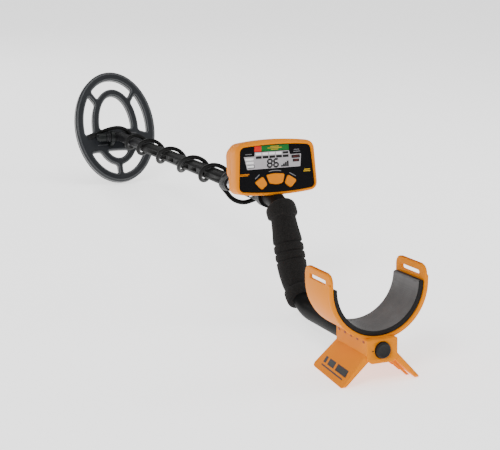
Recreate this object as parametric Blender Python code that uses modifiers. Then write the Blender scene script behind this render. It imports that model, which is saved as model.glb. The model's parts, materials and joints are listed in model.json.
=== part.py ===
"""Hand-held metal detector: an S-shaped three-piece stem that carries an arm cuff, a foam
hand grip, a control box and an elliptical search coil.

The detector stands on the two feet of its arm cuff and on the rim of its coil. X runs across
it, +Y points forward to the coil and +Z is up. The origin is on the floor, under the middle
of its length. Driving dimensions are in millimetres; meshes are in metres.
"""
import math

import bmesh
import bpy
from mathutils import Matrix, Vector

MM = 0.001
GAP = 0.3                   # left between neighbouring pieces
PIECES = "metal_detector"
TOOLS = "construction"

# Search coil, measured along its long axis (l), across it (x) and square to it (h)
COIL_LENGTH = 229.0
COIL_WIDTH = 165.0
COIL_THICKNESS = 15.0
RING_BAND = 17.0            # radial width of the outer ring
INNER_RING_LENGTH = 157.0
INNER_RING_WIDTH = 95.0
INNER_BAND = 14.0
BRIDGE_WIDTH = 44.0
BRIDGE_OFFSET = -26.0       # the bridge and the pivot lie behind the coil's centre
PIVOT_RISE = 28.0           # pivot above the coil's middle plane
COIL_TILT = 65.9            # long axis above the horizontal, standing on the rim
SPOKE_WIDTH = 10.0
SPOKE_ANGLE = 33.0          # the two front spokes, to each side of straight ahead
BASE_THICKNESS = 2.4

# Stem
UPPER_RADIUS = 12.7
UPPER_WALL = 1.25
MIDDLE_RADIUS = 11.1
MIDDLE_WALL = 1.2
LOWER_RADIUS = 9.55
LOWER_WALL = 2.0
PLUG_HEIGHT = 42.8          # axis of the rear tube above the floor, at its end
REAR_TILT = 4.9             # the rear tube falls forward by this angle
LOWER_CORNER_Y = 236.9      # where the rear tube's and the grip's axes meet
UPPER_CORNER = (310.3, 153.2)
LOWER_BEND = 70.0
UPPER_BEND = 40.0
SHAFT_LENGTH = 795.7        # from the upper corner to the coil's pivot
UPPER_END = 195.0           # the places below are along the shaft from the upper corner
MIDDLE_START = 90.0
MIDDLE_END = 626.0
LOWER_START = 358.0
LOWER_END = 765.0
LOCK_BUTTON_AT = 168.0
ADJUST_BUTTON_AT = 398.7
HOLE_PITCH = 38.5
HOLES_EACH_WAY = 3
HOLE_RADIUS = 3.6

# Hand grip: distance from its top end along the stem's axis, and radius there
GRIP_TOP = 19.0             # its top end, past the start of the upper bend
GRIP_PROFILE = (
    (0.0, 19.0), (1.2, 20.9), (4.0, 21.7), (10.0, 21.9), (15.5, 21.5), (17.5, 19.8),
    (18.5, 17.8), (35.0, 18.9), (52.0, 20.8), (54.5, 20.4), (55.5, 18.7), (57.5, 18.7),
    (58.5, 20.8), (63.0, 21.3), (67.0, 20.8), (68.0, 19.3), (69.5, 19.3), (70.5, 20.8),
    (74.5, 21.3), (78.5, 20.8), (79.5, 19.3), (81.0, 19.3), (82.0, 21.0), (97.0, 20.4),
    (112.0, 18.9), (124.0, 17.5), (125.5, 18.8), (136.0, 19.2), (140.5, 18.2))

# Control box: its face leans back, and depths are measured square to the face
FACE_CENTRE = (326.0, 198.4)
FACE_LEAN = 11.1
FRONT_DEPTH = 22.0
REAR_DEPTH = 55.0
LOWER_BLOCK_DEPTH = 50.0
RIM_RISE = 2.0              # the front rim stands out past the face panel
RING_DEPTH = 32.0
REAR_START = 23.5
PLUG_REACH = 60.0           # coil plug's end behind the back of the box
WALL = 2.6
BUTTON_TRAVEL = 1.2         # how far a key stands out of the face, and goes in
SOCKET_AT = (-39.0, -23.0)  # coil socket on the back of the box, across and up the face
JACK_AT = (-23.0, -41.0)    # headphone socket on its right side, up the face and behind it

# Arm cuff, measured from the axis of the rear tube
CUFF_START = 5.0
CUFF_LENGTH = 73.0
CUFF_CENTRE_RISE = 77.4
CUFF_OUTER = 66.0
CUFF_WALL = 4.0
PAD_THICKNESS = 5.5
ARM_RISE = 20.2             # arm tips above the centre of the U
YOKE_START = 0.3            # the block round the tube, and the feet, are longer than the band
YOKE_END = 81.0
YOKE_HALF = 21.0
YOKE_LIP = 2.4              # inward lip that stops against the end of the tube
PLUG_RADIUS = 10.0
PLUG_FACE = 8.4
PLUG_PROTRUSION = 6.4
FOOT_SPREAD = 54.0
SLOT_LENGTH = 45.0
SLOT_HEIGHT = 6.0

# Coil cable
CABLE_RADIUS = 3.5
WRAP_RADIUS = 16.0
CABLE_GAP = 1.1             # between the lengths of cable, whose ends are not quite in line

FACE_ANGLE = 90.0 - FACE_LEAN
PIVOT_Z = (COIL_LENGTH / 2 + BRIDGE_OFFSET) * math.sin(math.radians(COIL_TILT)) \
    + (PIVOT_RISE + COIL_THICKNESS / 2) * math.cos(math.radians(COIL_TILT))
SHAFT_TILT = math.degrees(math.asin((UPPER_CORNER[1] - PIVOT_Z) / SHAFT_LENGTH))
PIVOT_Y = UPPER_CORNER[0] + SHAFT_LENGTH * math.cos(math.radians(SHAFT_TILT))
LOWER_CORNER = (LOWER_CORNER_Y, PLUG_HEIGHT - LOWER_CORNER_Y * math.tan(math.radians(REAR_TILT)))
FRONT_Y = PIVOT_Y + (COIL_LENGTH / 2 - BRIDGE_OFFSET) * math.cos(math.radians(COIL_TILT)) \
    + (PIVOT_RISE + COIL_THICKNESS / 2) * math.sin(math.radians(COIL_TILT))
REAR_Y = -PLUG_PROTRUSION * math.cos(math.radians(REAR_TILT)) \
    - PLUG_FACE * math.sin(math.radians(REAR_TILT))
ORIGIN_Y = (FRONT_Y + REAR_Y) / 2


# ---------------------------------------------------------------- scene, frames and materials

def clear_scene():
    for item in list(bpy.data.objects):
        bpy.data.objects.remove(item, do_unlink=True)
    for name in (PIECES, TOOLS):
        old = bpy.data.collections.get(name)
        if old:
            bpy.data.collections.remove(old)
        bpy.context.scene.collection.children.link(bpy.data.collections.new(name))


def make_frame(name, y, z, tilt, parent=None):
    """An empty whose Y axis is turned up by tilt degrees; its children are laid out in it."""
    empty = bpy.data.objects.new(name, None)
    empty.empty_display_size = 0.03
    empty.location = (0, y * MM, z * MM)
    empty.rotation_euler = (math.radians(tilt), 0, 0)
    empty.parent = parent
    bpy.data.collections[PIECES].objects.link(empty)
    return empty


def make_material(name, colour, roughness, metallic=0.0):
    material = bpy.data.materials.new(name)
    material.use_nodes = True
    shader = material.node_tree.nodes["Principled BSDF"]
    shader.inputs["Base Color"].default_value = (*colour, 1)
    shader.inputs["Roughness"].default_value = roughness
    shader.inputs["Metallic"].default_value = metallic
    return material


def make_materials():
    table = {
        "housing_yellow": ((0.90, 0.36, 0.03), 0.42),
        "black_plastic": ((0.025, 0.025, 0.028), 0.5),
        "coil_grey": ((0.055, 0.058, 0.062), 0.5),
        "stem_black": ((0.03, 0.03, 0.033), 0.38, 0.2),
        "foam": ((0.045, 0.043, 0.042), 0.95),
        "pad_grey": ((0.09, 0.085, 0.09), 0.9),
        "cable_black": ((0.015, 0.015, 0.016), 0.3),
        "panel_black": ((0.012, 0.012, 0.014), 0.3),
        "screen_grey": ((0.42, 0.43, 0.44), 0.2),
        "button_yellow": ((0.92, 0.38, 0.03), 0.5),
        "steel": ((0.6, 0.6, 0.62), 0.25, 1.0),
        "copper": ((0.72, 0.34, 0.18), 0.35, 1.0),
        "board_green": ((0.02, 0.16, 0.06), 0.5),
        "battery_sleeve": ((0.55, 0.45, 0.2), 0.35, 0.4),
        "rubber": ((0.02, 0.02, 0.02), 0.85),
        "knob_grey": ((0.16, 0.17, 0.17), 0.45),
    }
    return {name: make_material(name, *values) for name, values in table.items()}


def hide_tool(item):
    """Move a piece that only cuts or joins into the construction collection."""
    for collection in list(item.users_collection):
        collection.objects.unlink(item)
    bpy.data.collections[TOOLS].objects.link(item)
    item.hide_render = True
    item.display_type = "WIRE"
    return item


def finish(item, material):
    item.data.materials.clear()
    item.data.materials.append(material)
    return item


# ---------------------------------------------------------------- shapes

def add_object(name, data, frame):
    item = bpy.data.objects.new(name, data)
    item.parent = frame
    bpy.data.collections[PIECES].objects.link(item)
    return item


def smooth_round(mesh, angle=40.0):
    mesh.shade_smooth()
    mesh.set_sharp_from_angle(angle=math.radians(angle))


def curve_to_mesh(item):
    """Replace a curve object by the mesh it shows, with its caps welded on."""
    bpy.context.view_layer.update()
    evaluated = item.evaluated_get(bpy.context.evaluated_depsgraph_get())
    mesh = bpy.data.meshes.new_from_object(evaluated)
    work = bmesh.new()
    work.from_mesh(mesh)
    bmesh.ops.remove_doubles(work, verts=work.verts, dist=0.00001)
    bmesh.ops.recalc_face_normals(work, faces=work.faces)
    work.to_mesh(mesh)
    work.free()
    smooth_round(mesh)
    name, frame, place = item.name, item.parent, item.matrix_basis.copy()
    curve = item.data
    bpy.data.objects.remove(item, do_unlink=True)
    bpy.data.curves.remove(curve)
    solid = add_object(name, mesh, frame)
    solid.matrix_basis = place
    return solid


def sweep(name, points, radii, frame, resolution=8):
    """A round bar along points in the frame, in millimetres; radii is one value or a list."""
    values = list(radii) if isinstance(radii, (list, tuple)) else [radii] * len(points)
    widest = max(values)
    curve = bpy.data.curves.new(name, "CURVE")
    curve.dimensions = "3D"
    curve.bevel_depth = widest * MM
    curve.bevel_resolution = resolution
    curve.use_fill_caps = True
    spline = curve.splines.new("POLY")
    spline.points.add(len(points) - 1)
    for point, place, radius in zip(spline.points, points, values):
        point.co = (*(Vector(place) * MM), 1)
        point.radius = radius / widest
    return curve_to_mesh(add_object(name, curve, frame))


PLANE_TURNS = {"XY": (0, 0, 0), "YZ": (math.pi / 2, 0, math.pi / 2), "XZ": (math.pi / 2, 0, 0)}
PLANE_NORMALS = {"XY": (0, 0, 1), "YZ": (1, 0, 0), "XZ": (0, -1, 0)}


def slab(name, outline, low, high, frame, plane="XY"):
    """A flat outline in a plane of the frame, thickened from low to high along its normal.

    The normal is +Z for XY, +X for YZ and -Y for XZ.
    """
    curve = bpy.data.curves.new(name, "CURVE")
    curve.dimensions = "2D"
    curve.fill_mode = "BOTH"
    curve.extrude = (high - low) / 2 * MM
    spline = curve.splines.new("POLY")
    spline.points.add(len(outline) - 1)
    for point, (across, up) in zip(spline.points, outline):
        point.co = (across * MM, up * MM, 0, 1)
    spline.use_cyclic_u = True
    item = add_object(name, curve, frame)
    item.rotation_euler = PLANE_TURNS[plane]
    item.location = Vector(PLANE_NORMALS[plane]) * (low + high) / 2 * MM
    return curve_to_mesh(item)


def rod(name, start, end, radius, frame, sides=20, end_radius=None):
    """A straight round bar or cone between two points of the frame."""
    first, last = Vector(start) * MM, Vector(end) * MM
    work = bmesh.new()
    tip = radius if end_radius is None else end_radius
    bmesh.ops.create_cone(work, cap_ends=True, segments=sides, radius1=radius * MM,
                          radius2=tip * MM, depth=(last - first).length)
    mesh = bpy.data.meshes.new(name)
    work.to_mesh(mesh)
    work.free()
    smooth_round(mesh)
    item = add_object(name, mesh, frame)
    item.location = (first + last) / 2
    item.rotation_euler = (last - first).to_track_quat("Z", "Y").to_euler()
    return item


def block(name, low, high, frame, bevel=0.0):
    """A box between two corners of the frame."""
    first, last = Vector(low) * MM, Vector(high) * MM
    work = bmesh.new()
    size = last - first
    bmesh.ops.create_cube(work, size=1.0, matrix=Matrix.Diagonal((*size, 1)))
    mesh = bpy.data.meshes.new(name)
    work.to_mesh(mesh)
    work.free()
    item = add_object(name, mesh, frame)
    item.location = (first + last) / 2
    if bevel:
        edge = item.modifiers.new("edges", "BEVEL")
        edge.width = bevel * MM
        edge.segments = 2
    return item


def turned(name, profile, frame, start, direction, steps=24, ring=False):
    """A turned piece: profile gives (radius, height) from its top down, about direction."""
    mesh = bpy.data.meshes.new(name)
    verts = [(radius * MM, 0, height * MM) for radius, height in profile]
    edges = [(i, i + 1) for i in range(len(verts) - 1)]
    if ring:
        edges.append((len(verts) - 1, 0))
    mesh.from_pydata(verts, edges, [])
    item = add_object(name, mesh, frame)
    screw = item.modifiers.new("turn", "SCREW")
    screw.steps = steps
    screw.render_steps = steps
    screw.use_merge_vertices = True
    screw.merge_threshold = 0.00001
    screw.use_smooth_shade = True
    item.location = Vector(start) * MM
    item.rotation_euler = Vector(direction).to_track_quat("Z", "Y").to_euler()
    return item


def combine(target, tool, operation):
    step = target.modifiers.new(tool.name, "BOOLEAN")
    step.operation = operation
    step.solver = "EXACT"
    step.object = hide_tool(tool)
    return target


def cut(target, *tools):
    for tool in tools:
        combine(target, tool, "DIFFERENCE")
    return target


def join(target, *tools):
    for tool in tools:
        combine(target, tool, "UNION")
    return target


# ---------------------------------------------------------------- outlines

def ellipse(length, width, centre=(0, 0), steps=64):
    """Width runs along the first axis and length along the second."""
    return [(centre[0] + width / 2 * math.cos(2 * math.pi * i / steps),
             centre[1] + length / 2 * math.sin(2 * math.pi * i / steps)) for i in range(steps)]


def arc(centre, radius, start, end, steps):
    """Points on a circle from start to end, in degrees."""
    angles = [math.radians(start + (end - start) * i / steps) for i in range(steps + 1)]
    return [(centre[0] + radius * math.cos(a), centre[1] + radius * math.sin(a)) for a in angles]


def rectangle(half_width, low, high, middle=0.0):
    return [(middle - half_width, low), (middle + half_width, low),
            (middle + half_width, high), (middle - half_width, high)]


def rounded(corners, radius, steps=3):
    """Replace each corner of a closed outline by a short curve."""
    points = []
    for i, corner in enumerate(corners):
        here = Vector(corner)
        before = Vector(corners[i - 1]) - here
        after = Vector(corners[(i + 1) % len(corners)]) - here
        reach = min(radius, 0.45 * before.length, 0.45 * after.length)
        first = here + before.normalized() * reach
        last = here + after.normalized() * reach
        for k in range(steps + 1):
            t = k / steps
            points.append(tuple((1 - t) ** 2 * first + 2 * t * (1 - t) * here + t * t * last))
    return points


def bowed_panel(half_top, half_bottom, top, bottom, bow_top, bow_bottom, radius):
    """A four-sided outline whose top and bottom edges bow outwards."""
    steps = 8
    lower = [(-half_bottom + 2 * half_bottom * i / steps,
              bottom - bow_bottom * (1 - (2 * i / steps - 1) ** 2)) for i in range(steps + 1)]
    upper = [(half_top - 2 * half_top * i / steps,
              top + bow_top * (1 - (2 * i / steps - 1) ** 2)) for i in range(steps + 1)]
    points = []
    for edge in (lower, upper):
        start, end = Vector(edge[0]), Vector(edge[-1])
        other = upper if edge is lower else lower
        points += corner_curve(Vector(other[-1]), start, Vector(edge[1]), radius)
        points += [p for p in edge[1:-1]]
        points += corner_curve(Vector(edge[-2]), end, Vector(other[0]), radius)
    return points


def corner_curve(before, here, after, radius, steps=3):
    first = here + (before - here).normalized() * radius
    last = here + (after - here).normalized() * radius
    return [tuple((1 - k / steps) ** 2 * first + 2 * (k / steps) * (1 - k / steps) * here
                  + (k / steps) ** 2 * last) for k in range(steps + 1)]


def case_outline(inset):
    """The control box seen from the front, drawn in by inset."""
    return bowed_panel(60.3 - inset, 63.3 - inset, 35.5 - inset, -34.4 + inset, 5.3, 4.3,
                       max(10.0 - inset, 3.0))


def panel_outline(inset):
    """The black face panel, drawn in by inset; the frame above it is wider than below."""
    return bowed_panel(54.5 - inset, 59.0 - inset, 30.5 - inset, -30.8 + inset, 3.0, 4.0,
                       6.5 - inset / 2)


# ---------------------------------------------------------------- the stem's centre line

def fillet(corner, before, after, radius, steps):
    """Points of a round bend at a corner between two others, all as (y, z)."""
    here = Vector(corner)
    back = (Vector(before) - here).normalized()
    ahead = (Vector(after) - here).normalized()
    half = back.angle(ahead) / 2
    reach = radius / math.tan(half)
    centre = here + (back + ahead).normalized() * radius / math.sin(half)
    start = here + back * reach - centre
    end = here + ahead * reach - centre
    sweep_angle = start.angle_signed(end)
    points = []
    for k in range(steps + 1):
        turn = -sweep_angle * k / steps
        points.append((centre.x + start.x * math.cos(turn) - start.y * math.sin(turn),
                       centre.y + start.x * math.sin(turn) + start.y * math.cos(turn)))
    return points


def shaft_point(along):
    tilt = math.radians(SHAFT_TILT)
    return (UPPER_CORNER[0] + along * math.cos(tilt), UPPER_CORNER[1] - along * math.sin(tilt))


def stem_line(extra=0.0):
    """The upper stem's axis from its rear end to its front end, as (x, y, z)."""
    tilt = math.radians(REAR_TILT)
    rear = (-extra * math.cos(tilt), PLUG_HEIGHT + extra * math.sin(tilt))
    front = shaft_point(UPPER_END + extra)
    low = fillet(LOWER_CORNER, rear, UPPER_CORNER, LOWER_BEND, 7)
    high = fillet(UPPER_CORNER, LOWER_CORNER, front, UPPER_BEND, 7)
    return [(0.0, y, z) for y, z in [rear] + low + high + [front]]


def along_line(points, distance):
    """The point that lies a distance along a line of points."""
    left = distance
    for first, last in zip(points, points[1:]):
        step = Vector(last) - Vector(first)
        if left <= step.length:
            return Vector(first) + step.normalized() * left
        left -= step.length
    return Vector(points[-1])


def bend_start_distance():
    """How far along the stem's axis the upper bend starts."""
    points = stem_line()
    rises = fillet(UPPER_CORNER, LOWER_CORNER, shaft_point(UPPER_END), UPPER_BEND, 7)
    total = 0.0
    for first, last in zip(points, points[1:]):
        if (Vector(first) - Vector((0, *rises[0]))).length < 0.001:
            break
        total += (Vector(last) - Vector(first)).length
    return total


# ---------------------------------------------------------------- stem and grip

def build_stem(root, rear, shaft, look):
    upper = sweep("upper_stem", stem_line(), UPPER_RADIUS, root)
    bore = sweep("upper_stem_bore", stem_line(2.0), UPPER_RADIUS - UPPER_WALL, root)
    cut(upper, bore, rod("lock_hole_tool", (-16, LOCK_BUTTON_AT, 0), (0, LOCK_BUTTON_AT, 0),
                         HOLE_RADIUS, shaft, 14))
    finish(upper, look["stem_black"])

    plug = turned("end_plug", [(0, PLUG_PROTRUSION), (PLUG_FACE, PLUG_PROTRUSION),
                               (PLUG_RADIUS, PLUG_PROTRUSION - 1.4), (PLUG_RADIUS, 0),
                               (10.9, 0), (10.9, -14), (0, -14)], rear, (0, 0, 0), (0, -1, 0))
    finish(plug, look["black_plastic"])

    middle = rod("middle_stem", (0, MIDDLE_START, 0), (0, MIDDLE_END, 0), MIDDLE_RADIUS, shaft)
    cut(middle, rod("middle_stem_bore", (0, MIDDLE_START - 2, 0), (0, MIDDLE_END + 2, 0),
                    MIDDLE_RADIUS - MIDDLE_WALL, shaft))
    places = [LOCK_BUTTON_AT] + [ADJUST_BUTTON_AT + HOLE_PITCH * k
                                 for k in range(-HOLES_EACH_WAY, HOLES_EACH_WAY + 1)]
    for number, place in enumerate(places):
        cut(middle, rod(f"middle_hole_tool_{number}", (-14, place, 0), (0, place, 0),
                        HOLE_RADIUS, shaft, 14))
    finish(middle, look["stem_black"])

    lower = rod("lower_stem", (0, LOWER_START, 0), (0, LOWER_END, 0), LOWER_RADIUS, shaft)
    cut(lower, rod("lower_stem_bore", (0, LOWER_START - 2, 0), (0, LOWER_END + 2, 0),
                   LOWER_RADIUS - LOWER_WALL, shaft),
        rod("lower_hole_tool", (-14, ADJUST_BUTTON_AT, 0), (0, ADJUST_BUTTON_AT, 0),
            HOLE_RADIUS, shaft, 14))
    finish(lower, look["black_plastic"])

    build_snap("lock", LOCK_BUTTON_AT, UPPER_RADIUS, MIDDLE_RADIUS - MIDDLE_WALL, shaft, look)
    build_snap("adjust", ADJUST_BUTTON_AT, MIDDLE_RADIUS, LOWER_RADIUS - LOWER_WALL, shaft, look)

    tip = rod("stem_tip", (0, LOWER_END + GAP, 0), (0, SHAFT_LENGTH - 4, 0), LOWER_RADIUS, shaft)
    join(tip,
         rod("tip_insert_tool", (0, LOWER_END - 28, 0), (0, LOWER_END + 2, 0),
             LOWER_RADIUS - LOWER_WALL - GAP, shaft),
         rod("tip_knuckle_tool", (-10, SHAFT_LENGTH, 0), (10, SHAFT_LENGTH, 0), 9.5, shaft, 28))
    cut(tip, rod("tip_bore_tool", (-14, SHAFT_LENGTH, 0), (14, SHAFT_LENGTH, 0), 3.3, shaft))
    finish(tip, look["black_plastic"])


def build_snap(label, place, outer, inner, shaft, look):
    """A spring button in the -X side of the stem, and the leaf spring behind it."""
    flange = 4.2
    seat = outer - math.sqrt((inner - GAP) ** 2 - flange ** 2)
    button = turned(f"{label}_button",
                    [(0, 2.2), (1.8, 1.9), (2.8, 1.0), (3.2, -0.4), (3.2, -seat), (flange, -seat),
                     (flange, -seat - 1.0), (0, -seat - 1.0)],
                    shaft, (-outer, place, 0), (-1, 0, 0), 16)
    finish(button, look["steel"])
    near = -outer + seat + 1.0 + GAP
    far = math.sqrt(inner ** 2 - 9) - GAP
    leaf = slab(f"{label}_spring",
                [(near, place + 4), (near, place - 4), (near + 0.7, place - 4),
                 (near + 0.7, place + 3.4), (far, place + 30), (far, place + 44),
                 (far - 0.7, place + 44), (far - 0.7, place + 30.2)],
                -3.0, 3.0, shaft)
    finish(leaf, look["steel"])


def build_grip(root, look):
    line = stem_line()
    top = bend_start_distance() + GRIP_TOP
    points = [tuple(along_line(line, top - distance)) for distance, radius in GRIP_PROFILE]
    grip = sweep("hand_grip", points, [radius for distance, radius in GRIP_PROFILE], root)
    cut(grip, sweep("grip_bore_tool", line, UPPER_RADIUS + GAP, root))
    finish(grip, look["foam"])


# ---------------------------------------------------------------- arm cuff

def cuff_band(outer, inner, rise):
    """Cross-section of a U-shaped band: half a ring with straight arms above it."""
    centre = (0, CUFF_CENTRE_RISE)
    tip = CUFF_CENTRE_RISE + rise
    return [(-outer, tip)] + arc(centre, outer, 180, 360, 28) + [(outer, tip), (inner, tip)] \
        + arc(centre, inner, 360, 180, 28) + [(-inner, tip)]


def yoke_outline():
    """Cross-section of the block round the tube: flat sides and a chamfered underside."""
    return [(-YOKE_HALF, -11), (-14.5, -16.5), (14.5, -16.5), (YOKE_HALF, -11), (YOKE_HALF, 22),
            (-YOKE_HALF, 22)]


def floor_height(y):
    """Where the floor is at a place along the rear tube, square to its axis."""
    tilt = math.radians(REAR_TILT)
    return (y * math.sin(tilt) - PLUG_HEIGHT) / math.cos(tilt)


def build_foot(name, side, rear):
    """A plate that spreads down and out from the yoke and stands on the floor."""
    points = [(12, 2), (20.5, -4.5), (FOOT_SPREAD, -42), (FOOT_SPREAD - 6, -42), (16, -12), (8, -10)]
    outline = [(side * x, z) for x, z in (points if side > 0 else reversed(points))]
    foot = slab(name, outline, -YOKE_END, -YOKE_START, rear, "XZ")
    middle = (YOKE_START + YOKE_END) / 2
    for vertex in foot.data.vertices:
        if vertex.co.y < -40 * MM:
            vertex.co.y = floor_height(middle - vertex.co.z / MM) * MM
    return foot


def build_cuff(root, rear, look):
    start, end = CUFF_START, CUFF_START + CUFF_LENGTH
    cuff = slab("arm_cuff", cuff_band(CUFF_OUTER, CUFF_OUTER - CUFF_WALL, ARM_RISE), -end, -start,
                rear, "XZ")
    yoke = slab("yoke_tool", yoke_outline(), -YOKE_END, YOKE_LIP, rear, "XZ")
    cut(yoke, rod("arm_room_tool", (0, -10, CUFF_CENTRE_RISE), (0, YOKE_END + 4, CUFF_CENTRE_RISE),
                  CUFF_OUTER - CUFF_WALL / 2, rear, 56))
    join(cuff, yoke, build_foot("left_foot_tool", -1, rear), build_foot("right_foot_tool", 1, rear))
    middle = (start + end) / 2
    slot_z = CUFF_CENTRE_RISE + ARM_RISE - 12
    for side in (-1, 1):
        cut(cuff, block(f"strap_slot_tool_{side}",
                        (side * CUFF_OUTER - 8, middle - SLOT_LENGTH / 2, slot_z - SLOT_HEIGHT / 2),
                        (side * CUFF_OUTER + 8, middle + SLOT_LENGTH / 2, slot_z + SLOT_HEIGHT / 2),
                        rear))
    cut(cuff,
        rod("cuff_bore_tool", (0, -GAP, 0), (0, YOKE_END + 4, 0), UPPER_RADIUS + GAP, rear, 28),
        rod("plug_hole_tool", (0, -10, 0), (0, 10, 0), PLUG_RADIUS + GAP * 2, rear, 28),
        rod("cuff_screw_hole_tool", (12, middle, 0), (25, middle, 0), 2.5, rear, 14))
    finish(cuff, look["housing_yellow"])

    pad = slab("cuff_pad", pad_band(), -(end - 3), -(start + 2.5), rear, "XZ")
    finish(pad, look["pad_grey"])
    screw = turned("cuff_screw", [(0, 11.2), (2.6, 10.9), (3.4, 10.0), (3.4, 8.1), (2.2, 8.1),
                                  (2.2, 0), (0, 0)],
                   rear, (UPPER_RADIUS + GAP * 2, middle, 0), (1, 0, 0), 16)
    finish(screw, look["steel"])


def pad_band():
    """Cross-section of the lining, which stops below the strap slots."""
    outer = CUFF_OUTER - CUFF_WALL - GAP
    inner = outer - PAD_THICKNESS
    centre = (0, CUFF_CENTRE_RISE)
    return arc(centre, outer, 180, 360, 28) + arc(centre, inner, 360, 180, 28)


# ---------------------------------------------------------------- control box

LCD_OUTLINE = ((-48.5, 17.6), (-44.5, -0.5), (37.6, -0.4), (39.6, 17.6), (22.2, 17.6), (21.0, 23.4),
               (-31.8, 23.4), (-32.4, 17.6))
BUTTON_OUTLINES = {
    "left": ((-34.6, -19.1), (-24.0, -30.5), (-14.9, -22.8), (-21.6, -10.9)),
    "middle": ((-16.4, -9.2), (-11.4, -22.3), (8.6, -22.3), (12.4, -9.2), (-2.0, -7.6)),
    "right": ((30.9, -19.4), (17.4, -10.6), (11.4, -22.6), (20.8, -30.2)),
}


def widen(outline, amount):
    """Move every edge of a closed outline out by the same amount."""
    corners = [Vector(p) for p in outline]
    area = sum(p.cross(q) for p, q in zip(corners, corners[1:] + corners[:1]))
    side = 1 if area > 0 else -1
    result = []
    for i, here in enumerate(corners):
        come = (here - corners[i - 1]).normalized()
        leave = (corners[(i + 1) % len(corners)] - here).normalized()
        first = Vector((come.y, -come.x)) * side
        second = Vector((leave.y, -leave.x)) * side
        result.append(tuple(here + (first + second) * amount / (1 + first.dot(second))))
    return result


# Places of the case screws, as across, up the face and depth of the head's seat
CASE_SCREWS = ((-45.0, 29.5, 51.8), (45.0, 29.5, 51.8), (-56.0, -25.0, 32.0), (56.0, -25.0, 32.0))


def build_box(root, face, look):
    build_front_shell(root, face, look)
    build_rear_shell(root, face, look)
    build_face(face, look)
    build_inside(face, look)
    build_connector(face, look)
    build_clamp(root, face, look)


def build_front_shell(root, face, look):
    front = slab("front_shell", case_outline(0), -FRONT_DEPTH, RIM_RISE, face)
    cut(front,
        slab("panel_recess_tool", panel_outline(0), -2.3, RIM_RISE + 2, face),
        slab("panel_window_tool", panel_outline(4), -6, RIM_RISE + 2, face),
        slab("front_cavity_tool", case_outline(WALL), -FRONT_DEPTH - 2, -5, face))
    join(front, slab("front_seat_tool", rectangle(16, -37, -26.5), -FRONT_DEPTH, -12, face))
    for i, (x, y, seat) in enumerate(CASE_SCREWS):
        join(front, rod(f"boss_tool_{i}", (x, y, -FRONT_DEPTH), (x, y, -9.5), 6.2, face, 14))
        cut(front, rod(f"boss_hole_tool_{i}", (x, y, -FRONT_DEPTH - 2), (x, y, -12), 1.8, face, 12))
    cut(front, sweep("front_groove_tool", stem_line(), UPPER_RADIUS + GAP, root))
    finish(front, look["housing_yellow"])

    gasket = slab("housing_gasket", case_outline(0.8), -REAR_START + GAP, -FRONT_DEPTH - GAP, face)
    cut(gasket,
        slab("gasket_hole_tool", case_outline(2.3), -REAR_START - 2, -FRONT_DEPTH + 2, face),
        sweep("gasket_groove_tool", stem_line(), UPPER_RADIUS + 2 * GAP, root))
    finish(gasket, look["rubber"])


def build_rear_shell(root, face, look):
    back = slab("rear_shell", case_outline(0.6), -RING_DEPTH, -REAR_START, face)
    upper = rounded([(-56, -12), (56, -12), (56, 24), (47, 34), (-47, 34), (-56, 24)], 7)
    lower = rounded([(-51, -34), (51, -34), (51, 0), (-51, 0)], 6)
    join(back, slab("rear_upper_tool", upper, -REAR_DEPTH, -REAR_START - 4, face),
         slab("rear_lower_tool", lower, -LOWER_BLOCK_DEPTH, -REAR_START - 4, face))
    inner_upper = rounded([(-53.4, -9.4), (53.4, -9.4), (53.4, 23), (46, 31.4), (-46, 31.4),
                           (-53.4, 23)], 5)
    inner_lower = [(-48.4, -31.4), (-21, -31.4), (-18, -24.5), (18, -24.5), (21, -31.4),
                   (48.4, -31.4), (48.4, 0), (-48.4, 0)]
    ring = case_outline(3.2)
    cut(back, slab("ring_cavity_tool", ring, -RING_DEPTH + WALL, -REAR_START + 2, face),
        slab("inner_upper_tool", inner_upper, -REAR_DEPTH + WALL, -REAR_START + 2, face),
        slab("inner_lower_tool", inner_lower, -LOWER_BLOCK_DEPTH + WALL, -REAR_START + 2, face))
    join(back, slab("rear_seat_tool", rectangle(16, -37, -25.5), -RING_DEPTH, -REAR_START, face))
    for i, (x, y, seat) in enumerate(CASE_SCREWS):
        if y > 0:
            join(back, rod(f"rear_boss_tool_{i}", (x, y, -REAR_DEPTH + 1), (x, y, -44), 4.2, face,
                           14))
            cut(back, rod(f"screw_head_tool_{i}", (x, y, -REAR_DEPTH - 3), (x, y, -seat), 3.1, face,
                          14))
        cut(back, rod(f"rear_screw_tool_{i}", (x, y, -REAR_DEPTH - 3), (x, y, -REAR_START + 2), 1.8,
                      face, 12))
    cut(back,
        slab("battery_hole_tool", rectangle(51, -7.0, 23.0), -REAR_DEPTH - 3, -REAR_DEPTH + 6,
             face),
        rod("socket_hole_tool", (*SOCKET_AT, -LOWER_BLOCK_DEPTH - 3),
            (*SOCKET_AT, -LOWER_BLOCK_DEPTH + 6), 7.0, face, 20),
        rod("jack_hole_tool", (45, *JACK_AT), (58, *JACK_AT), 5.2, face, 20),
        sweep("rear_groove_tool", stem_line(), UPPER_RADIUS + GAP, root))
    finish(back, look["housing_yellow"])
    for i, (x, y, seat) in enumerate(CASE_SCREWS):
        tip = seat - 14
        screw = turned(f"housing_screw_{i + 1}",
                       [(0, tip), (1.4, tip), (1.4, -GAP), (2.8, -GAP), (2.6, -2.4), (0, -2.6)],
                       face, (x, y, -seat), (0, 0, 1), 12)
        finish(screw, look["steel"])

    cover = slab("battery_cover", rounded(rectangle(53, -9, 26.2), 4), -REAR_DEPTH - 2.8,
                 -REAR_DEPTH - GAP, face)
    join(cover, *[block(f"cover_rib_tool_{i}", (-12, 10 + 3 * i, -REAR_DEPTH - 3.6),
                        (12, 11.4 + 3 * i, -REAR_DEPTH - 2.5), face) for i in range(4)])
    finish(cover, look["housing_yellow"])


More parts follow.
